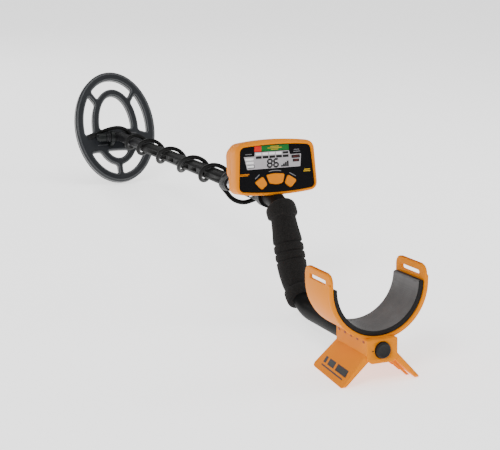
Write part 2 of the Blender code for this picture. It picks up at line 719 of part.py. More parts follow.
def build_face(face, look):
    panel = slab("face_panel", panel_outline(GAP), -2.0, -0.5, face)
    cut(panel, slab("lcd_hole_tool", widen(LCD_OUTLINE, GAP), -4, 2, face))
    window = slab("lcd_window", LCD_OUTLINE, -1.8, -0.7, face)
    finish(window, look["screen_grey"])
    for label, outline in BUTTON_OUTLINES.items():
        shape = rounded(outline, 3.0, 2)
        cut(panel, slab(f"{label}_button_hole_tool", widen(shape, 2 * GAP), -4, 2, face))
        button = slab(f"{label}_button", shape, -6.0, BUTTON_TRAVEL, face)
        edge = button.modifiers.new("edges", "BEVEL")
        edge.width = 0.5 * MM
        edge.segments = 1
        edge.limit_method = "ANGLE"
        edge.angle_limit = math.radians(60)
        finish(button, look["button_yellow"])
    finish(panel, look["panel_black"])


def build_inside(face, look):
    module = block("lcd_module", (-46, 1, -8.6), (38, 22, -2.4), face)
    finish(module, look["steel"])
    keypad = block("keypad_mat", (-36, -30, -9.0), (32, -3, -7.8), face)
    finish(keypad, look["rubber"])
    board = block("circuit_board", (-44, -24.5, -11.2), (44, 23, -9.4), face)
    finish(board, look["board_green"])
    speaker = turned("speaker", [(0, 0), (18, 0), (19.5, -1), (19.5, -3), (9, -11), (9, -15),
                                 (0, -15)], face, (24, 0, -14), (0, 0, 1), 20)
    finish(speaker, look["black_plastic"])
    tray = block("battery_tray", (-51.5, -7.5, -51.8), (51.5, 23.5, -34.0), face)
    cut(tray, block("tray_hollow_tool", (-50.3, -6.3, -56), (50.3, 22.3, -35.4), face))
    finish(tray, look["black_plastic"])
    for i in range(4):
        x = -25.1 + 50.2 * (i % 2)
        y = 0.9 + 14.2 * (i // 2)
        cell = rod(f"battery_{i + 1}", (x - 24.8, y, -43.0), (x + 24.8, y, -43.0), 6.9, face, 14)
        finish(cell, look["battery_sleeve"])


def build_connector(face, look):
    x, y = SOCKET_AT
    seat = -LOWER_BLOCK_DEPTH
    socket = turned("coil_socket", [(0, 14), (6.6, 14), (6.6, -GAP), (9.6, -GAP), (9.6, -3.5),
                                    (7.6, -3.5), (7.6, -36), (0, -36)],
                    face, (x, y, seat), (0, 0, 1))
    finish(socket, look["steel"])
    ring = turned("plug_ring", [(8.0, -32), (10.4, -32), (10.4, -55), (8.0, -55)],
                  face, (x, y, seat), (0, 0, 1), ring=True)
    finish(ring, look["black_plastic"])
    plug = turned("coil_plug", [(0, -36 - GAP), (7.6, -36 - GAP), (7.6, -56), (6.0, -57),
                                (4.4, -PLUG_REACH), (0, -PLUG_REACH)],
                  face, (x, y, seat), (0, 0, 1))
    finish(plug, look["rubber"])

    jack = turned("headphone_socket", [(0, -10), (3.3, -10), (3.3, 6.5), (7.0, 6.5), (7.0, 5.3),
                                       (4.9, 5.3), (4.9, -12), (0, -12)],
                  face, (46, *JACK_AT), (1, 0, 0))
    finish(jack, look["steel"])


CLAMP_DEPTHS = (34.0, 48.0)     # the clamp's rear and front edges, behind the face
CLAMP_SCREW_AT = 24.0


def build_clamp(root, face, look):
    """The strap under the shaft that holds the box on it, with its two screws."""
    underside = -34.0
    near, far = CLAMP_DEPTHS
    clamp = slab("box_clamp", rectangle(30, underside - 5, underside), -far, -near, face)
    shaft_ends = [(0, *shaft_point(along)) for along in (36, 64)]
    strap = rod("strap_tool", *shaft_ends, 16.5, root, 28)
    cut(strap, block("strap_front_tool", (-30, -90, -90), (30, 20, -far), face),
        block("strap_rear_tool", (-30, -90, -near), (30, 20, 20), face))
    join(clamp, strap)
    cut(clamp, block("underside_tool", (-70, underside - GAP, -90), (70, 60, 0), face),
        sweep("clamp_bore_tool", stem_line(), UPPER_RADIUS + GAP, root))
    middle = -(near + far) / 2
    for number, side in ((1, -1), (2, 1)):
        x = side * CLAMP_SCREW_AT
        hole = (x, underside - 8, middle), (x, underside + 4, middle)
        cut(clamp, rod(f"clamp_hole_tool_{number}", *hole, 1.8, face, 12))
        cut(bpy.data.objects["rear_shell"],
            rod(f"shell_hole_tool_{number}", *hole, 1.8, face, 12))
        screw = turned(f"clamp_screw_{number}",
                       [(0, 4), (1.4, 4), (1.4, -5 - GAP), (3.2, -5 - GAP), (3.0, -7.6), (0, -7.8)],
                       face, (x, underside, middle), (0, 1, 0), 12)
        finish(screw, look["steel"])
    finish(clamp, look["black_plastic"])


# ---------------------------------------------------------------- search coil

def coil_centre():
    """The coil's centre in the pivot's frame: along it and square to it."""
    return -BRIDGE_OFFSET, -PIVOT_RISE


def coil_ellipse(length, width, steps=44):
    return ellipse(length, width, (0, coil_centre()[0]), steps)


def ring_slab(name, length, width, band, low, high, frame):
    """An elliptical ring with a flat top and bottom."""
    ring = slab(name, coil_ellipse(length, width), low, high, frame)
    return cut(ring, slab(name + "_hole", coil_ellipse(length - 2 * band, width - 2 * band),
                          low - 2, high + 2, frame))


def spoke_outline(angle, inner, outer):
    """A bar between two distances from the coil's centre, turned from straight ahead."""
    turn = math.radians(angle)
    ahead = Vector((math.sin(turn), math.cos(turn)))
    across = Vector((ahead.y, -ahead.x)) * SPOKE_WIDTH / 2
    middle = Vector((0, coil_centre()[0]))
    return [tuple(middle + ahead * reach + across * side)
            for reach, side in ((inner, -1), (inner, 1), (outer, 1), (outer, -1))]


def coil_plate(name, low, high, frame):
    """The coil's outline as a plate: two rings, the bridge and three spokes."""
    plate = slab(name, coil_ellipse(COIL_LENGTH, COIL_WIDTH, 52), low, high, frame)
    opening = slab(name + "_gap", coil_ellipse(COIL_LENGTH - 2 * RING_BAND,
                                               COIL_WIDTH - 2 * RING_BAND), low - 2, high + 2, frame)
    cut(opening, slab(name + "_inner", coil_ellipse(INNER_RING_LENGTH, INNER_RING_WIDTH),
                      low - 4, high + 4, frame))
    cut(plate, opening,
        slab(name + "_eye", coil_ellipse(INNER_RING_LENGTH - 2 * INNER_BAND,
                                         INNER_RING_WIDTH - 2 * INNER_BAND),
             low - 2, high + 2, frame))
    half = BRIDGE_WIDTH / 2
    join(plate, slab(name + "_bridge", rectangle(72, -half, half), low, high, frame),
         slab(name + "_rear_spoke", spoke_outline(180, 74, 101), low, high, frame),
         slab(name + "_left_spoke", spoke_outline(-SPOKE_ANGLE, 59, 86), low, high, frame),
         slab(name + "_right_spoke", spoke_outline(SPOKE_ANGLE, 59, 86), low, high, frame))
    return plate


def ear_outline():
    return arc((0, 0), 12.5, -20, 200, 14) + [(-18, -22), (18, -22)]


def build_coil(coil, look):
    bottom = -PIVOT_RISE - COIL_THICKNESS / 2
    top = bottom + COIL_THICKNESS
    shell = coil_plate("coil_shell", bottom + BASE_THICKNESS + GAP, top, coil)
    join(shell, slab("left_ear_tool", ear_outline(), -20.3, -12.3, coil, "YZ"),
         slab("right_ear_tool", ear_outline(), 12.3, 20.3, coil, "YZ"))
    groove_top = top - 3.0
    cut(shell,
        ring_slab("transmit_groove_tool", COIL_LENGTH - 8, COIL_WIDTH - 8, 10, bottom - 2,
                  groove_top, coil),
        ring_slab("receive_groove_tool", INNER_RING_LENGTH - 5, INNER_RING_WIDTH - 5, 9,
                  bottom - 2, groove_top, coil),
        rod("ear_bore_tool", (-30, 0, 0), (30, 0, 0), 3.3, coil, 16))
    finish(shell, look["coil_grey"])
    base = coil_plate("coil_base", bottom, bottom + BASE_THICKNESS, coil)
    finish(base, look["coil_grey"])
    low = bottom + BASE_THICKNESS + 2 * GAP
    transmit = ring_slab("transmit_winding", COIL_LENGTH - 10, COIL_WIDTH - 10, 8, low, low + 7,
                         coil)
    receive = ring_slab("receive_winding", INNER_RING_LENGTH - 7, INNER_RING_WIDTH - 7, 7, low,
                        low + 6, coil)
    finish(transmit, look["copper"])
    finish(receive, look["copper"])
    build_hinge(coil, look)

    gland = rod("cable_gland", GLAND[0], GLAND[1], 6.5, coil, 18, 4.2)
    cut(gland, block("gland_seat_tool", (-90, -30, -60), (0, 40, top + GAP), coil))
    finish(gland, look["rubber"])


def build_hinge(coil, look):
    bolt = rod("hinge_bolt", (-36, 0, 0), (20.8, 0, 0), 3.0, coil, 16)
    join(bolt, rod("bolt_head_tool", (20.3 + GAP, 0, 0), (25, 0, 0), 6.2, coil, 6))
    finish(bolt, look["black_plastic"])
    for label, near, far in (("left", -12.0, -10.3), ("right", 10.3, 12.0)):
        washer = rod(f"hinge_washer_{label}", (near, 0, 0), (far, 0, 0), 8.6, coil, 24)
        cut(washer, rod(f"washer_{label}_tool", (near - 2, 0, 0), (far + 2, 0, 0), 3.3, coil, 16))
        finish(washer, look["rubber"])
    spacer = rod("knob_spacer", (-29.7, 0, 0), (-20.3 - GAP, 0, 0), 9.5, coil, 24)
    cut(spacer, rod("spacer_tool", (-32, 0, 0), (-18, 0, 0), 3.3, coil, 16))
    finish(spacer, look["black_plastic"])
    knob = turned("coil_knob", [(0, 49), (4.5, 48.6), (7.3, 46.8), (8.5, 44), (8.5, 31), (7.8, 30),
                                (3.3, 30), (3.3, 38), (0, 38)], coil, (0, 0, 0), (-1, 0, 0))
    finish(knob, look["knob_grey"])


# ---------------------------------------------------------------- coil cable

GLAND = ((-58.0, 6.5, -23.0), (-46.0, 9.8, -13.5))     # its ends, in the pivot's frame
# From the gland over the hinge to the right side of the stem, in the pivot's frame
LEAD_ROUTE = ((-45.7, 9.9, -13.2), (-39.5, 12.0, -8.8), (-31.0, 14.6, -3.8), (-21.5, 16.6, 0.8),
              (-12.0, 17.7, 4.0), (-3.0, 17.0, 7.5), (4.5, 14.0, 11.2), (10.5, 9.0, 14.8),
              (14.5, 2.6, 18.0), (16.4, -3.2, 22.6))
# Where the cable passes each quarter or half turn of its wrap, along the shaft
WRAP_ROUTE = ((0.25, 213.0), (0.29, 233.0), (0.5, 259.0), (1.0, 306.0), (1.5, 355.5),
              (2.0, 419.0), (2.5, 475.0), (3.0, 532.0), (3.5, 596.0), (4.0, 645.0), (4.5, 684.0),
              (5.0, 722.0), (5.21, 748.0), (5.25, 760.0))
# From the wrap along the right side of the stem, under it and up to the plug
LOOP_ROUTE = ((16.7, 508.0, 138.7), (17.6, 492.0, 139.0), (18.4, 475.0, 138.5),
              (18.6, 455.0, 136.5), (17.0, 435.0, 133.2), (10.5, 422.0, 130.2), (1.1, 417.0, 128.3),
              (-11.6, 417.0, 126.3), (-21.0, 423.0, 127.8), (-26.5, 432.0, 131.6),
              (-28.5, 443.0, 136.5), (-31.5, 450.0, 141.5), (-35.5, 449.5, 146.8),
              (-38.3, 443.0, 151.2), (-39.0, 435.5, 153.2))


def smooth_line(points, steps):
    """A smooth curve through points, with steps stretches between each two."""
    nodes = [Vector(p) for p in points]
    nodes = [2 * nodes[0] - nodes[1]] + nodes + [2 * nodes[-1] - nodes[-2]]
    result = []
    for i in range(1, len(nodes) - 2):
        a, b, c, d = nodes[i - 1:i + 3]
        for k in range(steps):
            t = k / steps
            result.append(0.5 * (2 * b + (c - a) * t + (2 * a - 5 * b + 4 * c - d) * t * t
                                 + (3 * b - a - 3 * c + d) * t ** 3))
    return result + [nodes[-2]]


def wrap_line(turn_steps=10):
    """The cable's turns round the stem, from the coil's end to the box's end."""
    knots = smooth_line([(turns, along, 0) for turns, along in WRAP_ROUTE], 16)
    count = round((WRAP_ROUTE[-1][0] - WRAP_ROUTE[0][0]) * turn_steps)
    points = []
    for i in range(count, -1, -1):
        turns = WRAP_ROUTE[0][0] + i / turn_steps
        after = next(k for k in knots if k.x >= turns - 0.0001)
        before = knots[max(knots.index(after) - 1, 0)]
        share = 0 if after is before else (turns - before.x) / (after.x - before.x)
        along = before.y + (after.y - before.y) * share
        slim = min(max((along - MIDDLE_END - 3) / 40, 0), 1)
        radius = WRAP_RADIUS - 1.4 * slim
        y, z = shaft_point(along)
        turn = 2 * math.pi * turns
        tilt = math.radians(SHAFT_TILT)
        rise = -radius * math.cos(turn)
        points.append(Vector((radius * math.sin(turn), y + rise * math.sin(tilt),
                              z + rise * math.cos(tilt))))
    return points


def from_pivot(point):
    """A place in the pivot's frame, in the detector's frame."""
    across, along, up = point
    tilt = math.radians(COIL_TILT)
    return Vector((across, PIVOT_Y + along * math.cos(tilt) - up * math.sin(tilt),
                   PIVOT_Z + along * math.sin(tilt) + up * math.cos(tilt)))


def plug_end():
    across, up = SOCKET_AT
    depth = LOWER_BLOCK_DEPTH + PLUG_REACH + GAP
    lean = math.radians(FACE_LEAN)
    return Vector((across, FACE_CENTRE[0] + up * math.sin(lean) + depth * math.cos(lean),
                   FACE_CENTRE[1] + up * math.cos(lean) - depth * math.sin(lean)))


def trim_end(points, amount):
    """Take a little off the last stretch of a line."""
    last = points[-1] - points[-2]
    return points[:-1] + [points[-1] - last.normalized() * amount]


def build_cable(root, look):
    wrap = wrap_line()
    lead = smooth_line([from_pivot(p) for p in LEAD_ROUTE] + [wrap[0]], 2)
    loop = smooth_line([wrap[-1]] + [Vector(p) for p in LOOP_ROUTE] + [plug_end()], 2)
    for name, line in (("cable_coil_lead", trim_end(lead, CABLE_GAP)), ("cable_stem_wrap", wrap),
                       ("cable_box_loop", trim_end(loop[::-1], CABLE_GAP)[::-1])):
        cable = sweep(name, [tuple(p) for p in line], CABLE_RADIUS, root, 2)
        finish(cable, look["cable_black"])


def build():
    clear_scene()
    look = make_materials()
    root = make_frame("detector_frame", -ORIGIN_Y, 0, 0)
    rear = make_frame("rear_tube_axis", 0, PLUG_HEIGHT, -REAR_TILT, root)
    shaft = make_frame("shaft_axis", *UPPER_CORNER, -SHAFT_TILT, root)
    face = make_frame("box_face", *FACE_CENTRE, FACE_ANGLE, root)
    coil = make_frame("coil_pivot", PIVOT_Y, PIVOT_Z, COIL_TILT, root)
    build_stem(root, rear, shaft, look)
    build_grip(root, look)
    build_cuff(root, rear, look)
    build_box(root, face, look)
    build_coil(coil, look)
    build_cable(root, look)


build()
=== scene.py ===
"""Looks of the hand-held metal detector: moulded orange housing and arm cuff, black stem,
foam grip, wrapped cable and a rounded elliptical search coil.

Local dimensions are in millimetres, in the frames set up below; meshes are in metres.
"""

import json
import math

import bmesh
import bpy
from mathutils import Matrix, Vector

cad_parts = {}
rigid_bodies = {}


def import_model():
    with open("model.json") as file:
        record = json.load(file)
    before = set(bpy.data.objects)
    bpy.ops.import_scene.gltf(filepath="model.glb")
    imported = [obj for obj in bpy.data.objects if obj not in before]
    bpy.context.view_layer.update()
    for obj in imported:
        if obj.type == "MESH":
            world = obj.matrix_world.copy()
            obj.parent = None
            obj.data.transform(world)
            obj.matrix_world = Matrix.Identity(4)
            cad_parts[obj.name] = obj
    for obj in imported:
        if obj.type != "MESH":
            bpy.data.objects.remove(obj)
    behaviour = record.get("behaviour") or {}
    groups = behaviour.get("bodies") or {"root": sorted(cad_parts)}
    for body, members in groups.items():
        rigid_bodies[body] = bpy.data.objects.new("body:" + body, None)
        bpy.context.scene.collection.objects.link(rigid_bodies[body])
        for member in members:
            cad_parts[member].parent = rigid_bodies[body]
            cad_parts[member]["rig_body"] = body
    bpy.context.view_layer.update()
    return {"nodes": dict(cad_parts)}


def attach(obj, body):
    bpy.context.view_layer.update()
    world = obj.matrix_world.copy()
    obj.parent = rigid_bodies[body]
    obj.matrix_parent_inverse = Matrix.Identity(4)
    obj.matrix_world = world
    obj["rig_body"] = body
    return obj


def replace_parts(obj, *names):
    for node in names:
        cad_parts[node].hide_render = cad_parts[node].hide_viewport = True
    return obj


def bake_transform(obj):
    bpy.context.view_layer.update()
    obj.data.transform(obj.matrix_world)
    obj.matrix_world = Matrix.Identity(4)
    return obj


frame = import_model()

MM = 0.001

# ------------------------------------------------------------------ dimensions

ORIGIN_Y = 593.286          # the row's origin, ahead of the rear tube's end
REAR_TILT = 4.9
PLUG_HEIGHT = 42.8
LOWER_CORNER = (236.9, 22.49)
UPPER_CORNER = (310.3, 153.2)
LOWER_BEND = 70.0
UPPER_BEND = 40.0
SHAFT_TILT = 4.174
SHAFT_LENGTH = 795.7
PIVOT = (1103.89, 95.28)
COIL_TILT = 65.9
FACE_CENTRE = (326.0, 198.4)
FACE_LEAN = 11.1

UPPER_RADIUS = 12.7
MIDDLE_RADIUS = 11.1
LOWER_RADIUS = 9.55
UPPER_END = 195.0
MIDDLE_END = 626.0
LOWER_START = 358.0
LOWER_END = 765.0
LOCK_BUTTON_AT = 168.0
ADJUST_BUTTON_AT = 398.7
HOLE_PITCH = 38.5
HOLES_EACH_WAY = 3

CABLE_RADIUS = 3.5
WRAP_RADIUS = 16.0


def placed(y, z, tilt):
    """A frame with its Y axis turned up by tilt degrees; from millimetres to metres."""
    spot = Matrix.Translation((0, (y - ORIGIN_Y) * MM, z * MM))
    return spot @ Matrix.Rotation(math.radians(tilt), 4, "X") @ Matrix.Scale(MM, 4)


BODY = placed(0, 0, 0)
REAR = placed(0, PLUG_HEIGHT, -REAR_TILT)
SHAFT = placed(*UPPER_CORNER, -SHAFT_TILT)
FACE = placed(*FACE_CENTRE, 90 - FACE_LEAN)
HINGE = placed(*PIVOT, COIL_TILT)
COIL = HINGE @ Matrix.Translation((0, 26, -28))


def on_side(place):
    """The frame whose flat outlines lie in the YZ plane of another, with X as their normal."""
    return place @ Matrix(((0, 0, 1, 0), (1, 0, 0, 0), (0, 1, 0, 0), (0, 0, 0, 1)))


def on_end(place):
    """The frame whose flat outlines lie in the XZ plane of another, with Y as their depth."""
    return place @ Matrix(((1, 0, 0, 0), (0, 0, 1, 0), (0, 1, 0, 0), (0, 0, 0, 1)))


# ------------------------------------------------------------------ camera, light and floor

CAMERA_PLACE = (-0.67577, (-1186.54 - ORIGIN_Y) * MM, 0.5706)
CAMERA_ANGLES = (22.83, 15.44, 1.13)        # turned right, looking down, rolled
CAMERA_LENS = 86.03
SKY_STRENGTH = 0.42
FLOOR_GLOW = 1.3


def add_camera():
    turn, drop, roll = (math.radians(angle) for angle in CAMERA_ANGLES)
    look = Vector((math.sin(turn) * math.cos(drop), math.cos(turn) * math.cos(drop),
                   -math.sin(drop)))
    right = Vector((math.cos(turn), -math.sin(turn), 0))
    up = right.cross(look)
    across = right * math.cos(roll) + up * math.sin(roll)
    upward = up * math.cos(roll) - right * math.sin(roll)
    data = bpy.data.cameras.new("camera")
    data.lens = CAMERA_LENS
    data.sensor_width = 36.0
    data.clip_end = 50
    camera = bpy.data.objects.new("camera", data)
    bpy.context.scene.collection.objects.link(camera)
    turned_to = Matrix((across, upward, -look)).transposed().to_4x4()
    camera.matrix_world = Matrix.Translation(CAMERA_PLACE) @ turned_to
    bpy.context.scene.camera = camera


def add_area(name, place, aim, size, power):
    data = bpy.data.lights.new(name, "AREA")
    data.shape = "RECTANGLE"
    data.size, data.size_y = size
    data.energy = power
    lamp = bpy.data.objects.new(name, data)
    lamp.location = place
    lamp.rotation_euler = (Vector(aim) - Vector(place)).to_track_quat("-Z", "Y").to_euler()
    bpy.context.scene.collection.objects.link(lamp)


def add_studio():
    world = bpy.data.worlds.new("studio")
    world.use_nodes = True
    sky = world.node_tree.nodes["Background"]
    sky.inputs["Color"].default_value = (1, 1, 1, 1)
    sky.inputs["Strength"].default_value = SKY_STRENGTH
    bpy.context.scene.world = world
    middle = (0, 0.05, 0.1)
    add_area("key_light", (-1.6, -1.7, 2.2), middle, (1.0, 1.0), 40)
    add_area("top_light", (0.3, 0.2, 2.6), middle, (2.2, 2.2), 26)
    add_area("side_light", (1.9, -0.6, 1.0), middle, (0.8, 1.6), 14)
    add_area("far_light", (-0.6, 2.4, 1.4), middle, (1.2, 1.0), 14)
    floor = bpy.data.meshes.new("floor")
    reach = 14.0
    floor.from_pydata([(-reach, -reach, 0), (reach, -reach, 0), (reach, reach, 0),
                       (-reach, reach, 0)], [], [(0, 1, 2, 3)])
    ground = bpy.data.objects.new("floor", floor)
    ground.location.z = -0.0006
    bpy.context.scene.collection.objects.link(ground)
    pale = bpy.data.materials.new("pale_floor")
    pale.use_nodes = True
    shader = pale.node_tree.nodes["Principled BSDF"]
    shader.inputs["Base Color"].default_value = (0.93, 0.93, 0.93, 1)
    shader.inputs["Roughness"].default_value = 0.9
    shader.inputs["Emission Color"].default_value = (1, 1, 1, 1)
    shader.inputs["Emission Strength"].default_value = FLOOR_GLOW
    floor.materials.append(pale)


# ------------------------------------------------------------------ materials

def blank(name, roughness, metallic=0.0):
    material = bpy.data.materials.new(name)
    material.use_nodes = True
    nodes, links = material.node_tree.nodes, material.node_tree.links
    shader = nodes["Principled BSDF"]
    shader.inputs["Roughness"].default_value = roughness
    shader.inputs["Metallic"].default_value = metallic
    return material, nodes, links, shader


def noise_node(nodes, links, scale, detail=3.0, stretch=(1, 1, 1)):
    """Noise in the object's own coordinates, in features per metre."""
    where = nodes.new("ShaderNodeTexCoord")
    shift = nodes.new("ShaderNodeMapping")
    shift.inputs["Scale"].default_value = stretch
    noise = nodes.new("ShaderNodeTexNoise")
    noise.inputs["Scale"].default_value = scale
    noise.inputs["Detail"].default_value = detail
    links.new(where.outputs["Object"], shift.inputs["Vector"])
    links.new(shift.outputs["Vector"], noise.inputs["Vector"])
    return noise


def ramp_node(nodes, links, source, stops):
    ramp = nodes.new("ShaderNodeValToRGB")
    ramp.color_ramp.elements[0].position, ramp.color_ramp.elements[0].color = stops[0]
    ramp.color_ramp.elements[1].position, ramp.color_ramp.elements[1].color = stops[-1]
    for position, colour in stops[1:-1]:
        ramp.color_ramp.elements.new(position).color = colour
    links.new(source, ramp.inputs["Fac"])
    return ramp


def shade(colour, factor):
    return (*(min(c * factor, 1.0) for c in colour[:3]), 1)


def bump(nodes, links, shader, height, strength, distance):
    relief = nodes.new("ShaderNodeBump")
    relief.inputs["Strength"].default_value = strength
    relief.inputs["Distance"].default_value = distance
    links.new(height, relief.inputs["Height"])
    links.new(relief.outputs["Normal"], shader.inputs["Normal"])


def vary_roughness(nodes, links, shader, source, low, high):
    spread = nodes.new("ShaderNodeMapRange")
    spread.inputs["To Min"].default_value = low
    spread.inputs["To Max"].default_value = high
    links.new(source, spread.inputs["Value"])
    links.new(spread.outputs["Result"], shader.inputs["Roughness"])


def moulded(name, colour, roughness, grain=900.0, relief=0.12, mottle=0.05, wear_and_highlight=0.25,
            metallic=0.0, specular=0.3):
    """Moulded plastic or coated metal: fine grain, faint mottling and lighter edges, edge wear on some
    parts and a painted highlight on the search coil.
    """
    material, nodes, links, shader = blank(name, roughness, metallic)
    broad = noise_node(nodes, links, 22, 4)
    tint = ramp_node(nodes, links, broad.outputs["Fac"],
                     [(0.3, shade(colour, 1 - mottle)), (0.7, shade(colour, 1 + mottle))])
    # Edges are mixed towards a lighter colour by pointiness: a painted highlight along the search
    # coil's rims, and edge wear on other parts.
    edge = nodes.new("ShaderNodeNewGeometry")
    worn_and_lit_edges = ramp_node(nodes, links, edge.outputs["Pointiness"],
                     [(0.52, (0, 0, 0, 1)), (0.62, (wear_and_highlight, wear_and_highlight, wear_and_highlight, 1))])
    blend = nodes.new("ShaderNodeMix")
    blend.data_type = "RGBA"
    links.new(worn_and_lit_edges.outputs["Color"], blend.inputs["Factor"])
    links.new(tint.outputs["Color"], blend.inputs["A"])
    blend.inputs["B"].default_value = shade([0.04 + 0.96 * c for c in colour], 1.35)
    links.new(blend.outputs["Result"], shader.inputs["Base Color"])
    fine = noise_node(nodes, links, grain, 2)
    vary_roughness(nodes, links, shader, broad.outputs["Fac"], roughness - 0.06,
                   roughness + 0.08)
    bump(nodes, links, shader, fine.outputs["Fac"], relief, 0.0004)
    shader.inputs["Specular IOR Level"].default_value = specular
    return material


def printed(name, colour, roughness=0.35, mottle=0.05):
    """Ink or film: very fine grain and no lighter edges."""
    return moulded(name, colour, roughness, 1500, 0.02, mottle, 0.0)


def foam(name, colour, cell=1500.0):
    """Closed-cell foam: small open pits and a dusty sheen."""
    material, nodes, links, shader = blank(name, 0.95)
    pits = nodes.new("ShaderNodeTexVoronoi")
    pits.inputs["Scale"].default_value = cell
    where = nodes.new("ShaderNodeTexCoord")
    links.new(where.outputs["Object"], pits.inputs["Vector"])
    speck = noise_node(nodes, links, cell * 0.55, 3)
    tint = ramp_node(nodes, links, speck.outputs["Fac"],
                     [(0.25, shade(colour, 0.45)), (0.5, shade(colour, 1.0)),
                      (0.72, shade(colour, 1.9))])
    links.new(tint.outputs["Color"], shader.inputs["Base Color"])
    bump(nodes, links, shader, pits.outputs["Distance"], 0.55, 0.0006)
    shader.inputs["Specular IOR Level"].default_value = 0.15
    shader.inputs["Sheen Weight"].default_value = 0.03
    shader.inputs["Sheen Roughness"].default_value = 0.5
    return material


def lining(name, colour):
    """Knitted fabric over foam: two crossed fine waves."""
    material, nodes, links, shader = blank(name, 0.48)
    where = nodes.new("ShaderNodeTexCoord")
    heights = []
    for direction in ("X", "Y"):
        wave = nodes.new("ShaderNodeTexWave")
        wave.bands_direction = direction
        wave.inputs["Scale"].default_value = 420
        wave.inputs["Distortion"].default_value = 1.6
        wave.inputs["Detail"].default_value = 1
        links.new(where.outputs["Object"], wave.inputs["Vector"])
        heights.append(wave)
    both = nodes.new("ShaderNodeMath")
    both.operation = "MULTIPLY"
    links.new(heights[0].outputs["Fac"], both.inputs[0])
    links.new(heights[1].outputs["Fac"], both.inputs[1])
    soft = noise_node(nodes, links, 60, 3)
    tint = ramp_node(nodes, links, soft.outputs["Fac"],
                     [(0.3, shade(colour, 0.85)), (0.7, shade(colour, 1.15))])
    links.new(tint.outputs["Color"], shader.inputs["Base Color"])
    bump(nodes, links, shader, both.outputs["Value"], 0.3, 0.0003)
    shader.inputs["Specular IOR Level"].default_value = 0.5
    return material


def metal(name, colour, roughness, stretch=(1, 1, 1)):
    material, nodes, links, shader = blank(name, roughness, 1.0)
    streak = noise_node(nodes, links, 700, 3, stretch)
    tint = ramp_node(nodes, links, streak.outputs["Fac"],
                     [(0.3, shade(colour, 0.85)), (0.7, shade(colour, 1.1))])
    links.new(tint.outputs["Color"], shader.inputs["Base Color"])
    vary_roughness(nodes, links, shader, streak.outputs["Fac"], roughness, roughness + 0.15)
    bump(nodes, links, shader, streak.outputs["Fac"], 0.08, 0.0002)
    return material


ORANGE = (0.74, 0.222, 0.0)
BLACK = (0.008, 0.008, 0.009)


def make_looks():
    return {
        "housing": moulded("housing_orange", ORANGE, 0.42, 700, 0.04, 0.02, 0.0, specular=0.05),
        "key": moulded("key_orange", ORANGE, 0.5, 900, 0.12, 0.03, 0.0, specular=0.1),
        # The coil's lighter edges (0.3) are a painted highlight along its rims and rings.
        "coil": moulded("coil_plastic", (0.015, 0.0165, 0.019), 0.3, 1100, 0.05, 0.08, 0.3,
                        specular=0.4),
        # The beads are coloured lighter than the coil as a painted highlight along the ring edges.
        "bead_highlight": moulded("coil_bead_highlight", (0.055, 0.058, 0.062), 0.3, 1100, 0.03, 0.08, 0.3,
                        specular=0.5),
        "tube": moulded("stem_coating", (0.007, 0.007, 0.007), 0.46, 1600, 0.03, 0.06, 0.0,
                        specular=0.05),
        "lower": moulded("lower_stem_plastic", (0.008, 0.008, 0.009), 0.42, 900, 0.05, 0.06, 0.0,
                         specular=0.15),
        "plastic": moulded("black_plastic", BLACK, 0.45, 900, 0.08, 0.06, 0.0, specular=0.2),
        "cap": moulded("textured_cap", (0.008, 0.008, 0.008), 0.65, 420, 0.7, 0.2, 0.0),
        "cable": moulded("cable_jacket", (0.005, 0.005, 0.005), 0.36, 500, 0.03, 0.05, 0.0,
                         specular=0.08),
        "rubber": moulded("soft_rubber", (0.006, 0.006, 0.006), 0.75, 700, 0.2, 0.08, 0.0),
        "panel": moulded("panel_film", (0.003, 0.003, 0.004), 0.25, 300, 0.02, 0.03, 0.0,
                         specular=0.15),
        "knob": moulded("knob_plastic", (0.006, 0.007, 0.007), 0.34, 800, 0.08, 0.05, 0.0,
                        specular=0.2),
        "foam": foam("grip_foam", (0.011, 0.010, 0.0095)),
        "pad": lining("cuff_lining", (0.082, 0.077, 0.076)),
        "steel": metal("bright_steel", (0.62, 0.62, 0.64), 0.22),
        "copper": metal("winding_copper", (0.72, 0.33, 0.16), 0.3, (1, 12, 12)),
        "screen": printed("display_grey", (0.40, 0.38, 0.40), 0.3),
        "ink": printed("display_ink", (0.004, 0.004, 0.004), 0.35, 0.03),
        "pale": printed("display_pale", (0.86, 0.86, 0.86), 0.35, 0.03),
        "rust": printed("display_red", (0.16, 0.02, 0.02)),
        "mark": printed("mark_rust", (0.22, 0.028, 0.0), 0.5),
        "red": printed("scale_red", (0.62, 0.018, 0.008)),
        "green": printed("scale_green", (0.006, 0.13, 0.020)),
        "gold": printed("scale_gold", (0.60, 0.36, 0.01), 0.4),
        "label": printed("label_grey", (0.16, 0.16, 0.175), 0.4),
        "board": moulded("board_green", (0.01, 0.10, 0.03), 0.4, 400, 0.3, 0.1),
        "cell": moulded("cell_sleeve", (0.50, 0.40, 0.16), 0.3, 500, 0.05, 0.06),
    }


LOOK = make_looks()


# ------------------------------------------------------------------ mesh helpers

def finish_mesh(name, mesh, material, body, angle=40.0):
    mesh.materials.clear()
    mesh.materials.append(LOOK[material])
    mesh.shade_smooth()
    mesh.set_sharp_from_angle(angle=math.radians(angle))
    piece = bpy.data.objects.new(name, mesh)
    bpy.context.scene.collection.objects.link(piece)
    if body:
        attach(piece, body)
    return piece


def weld(mesh):
    """Join vertices that coincide and point every face outwards."""
    work = bmesh.new()
    work.from_mesh(mesh)
    bmesh.ops.remove_doubles(work, verts=work.verts, dist=1e-6)
    bmesh.ops.recalc_face_normals(work, faces=work.faces)
    work.to_mesh(mesh)
    work.free()


def from_faces(name, verts, faces, place, material, body, angle=40.0):
    mesh = bpy.data.meshes.new(name)
    mesh.from_pydata([place @ Vector(v) for v in verts], [], faces)
    weld(mesh)
    return finish_mesh(name, mesh, material, body, angle)


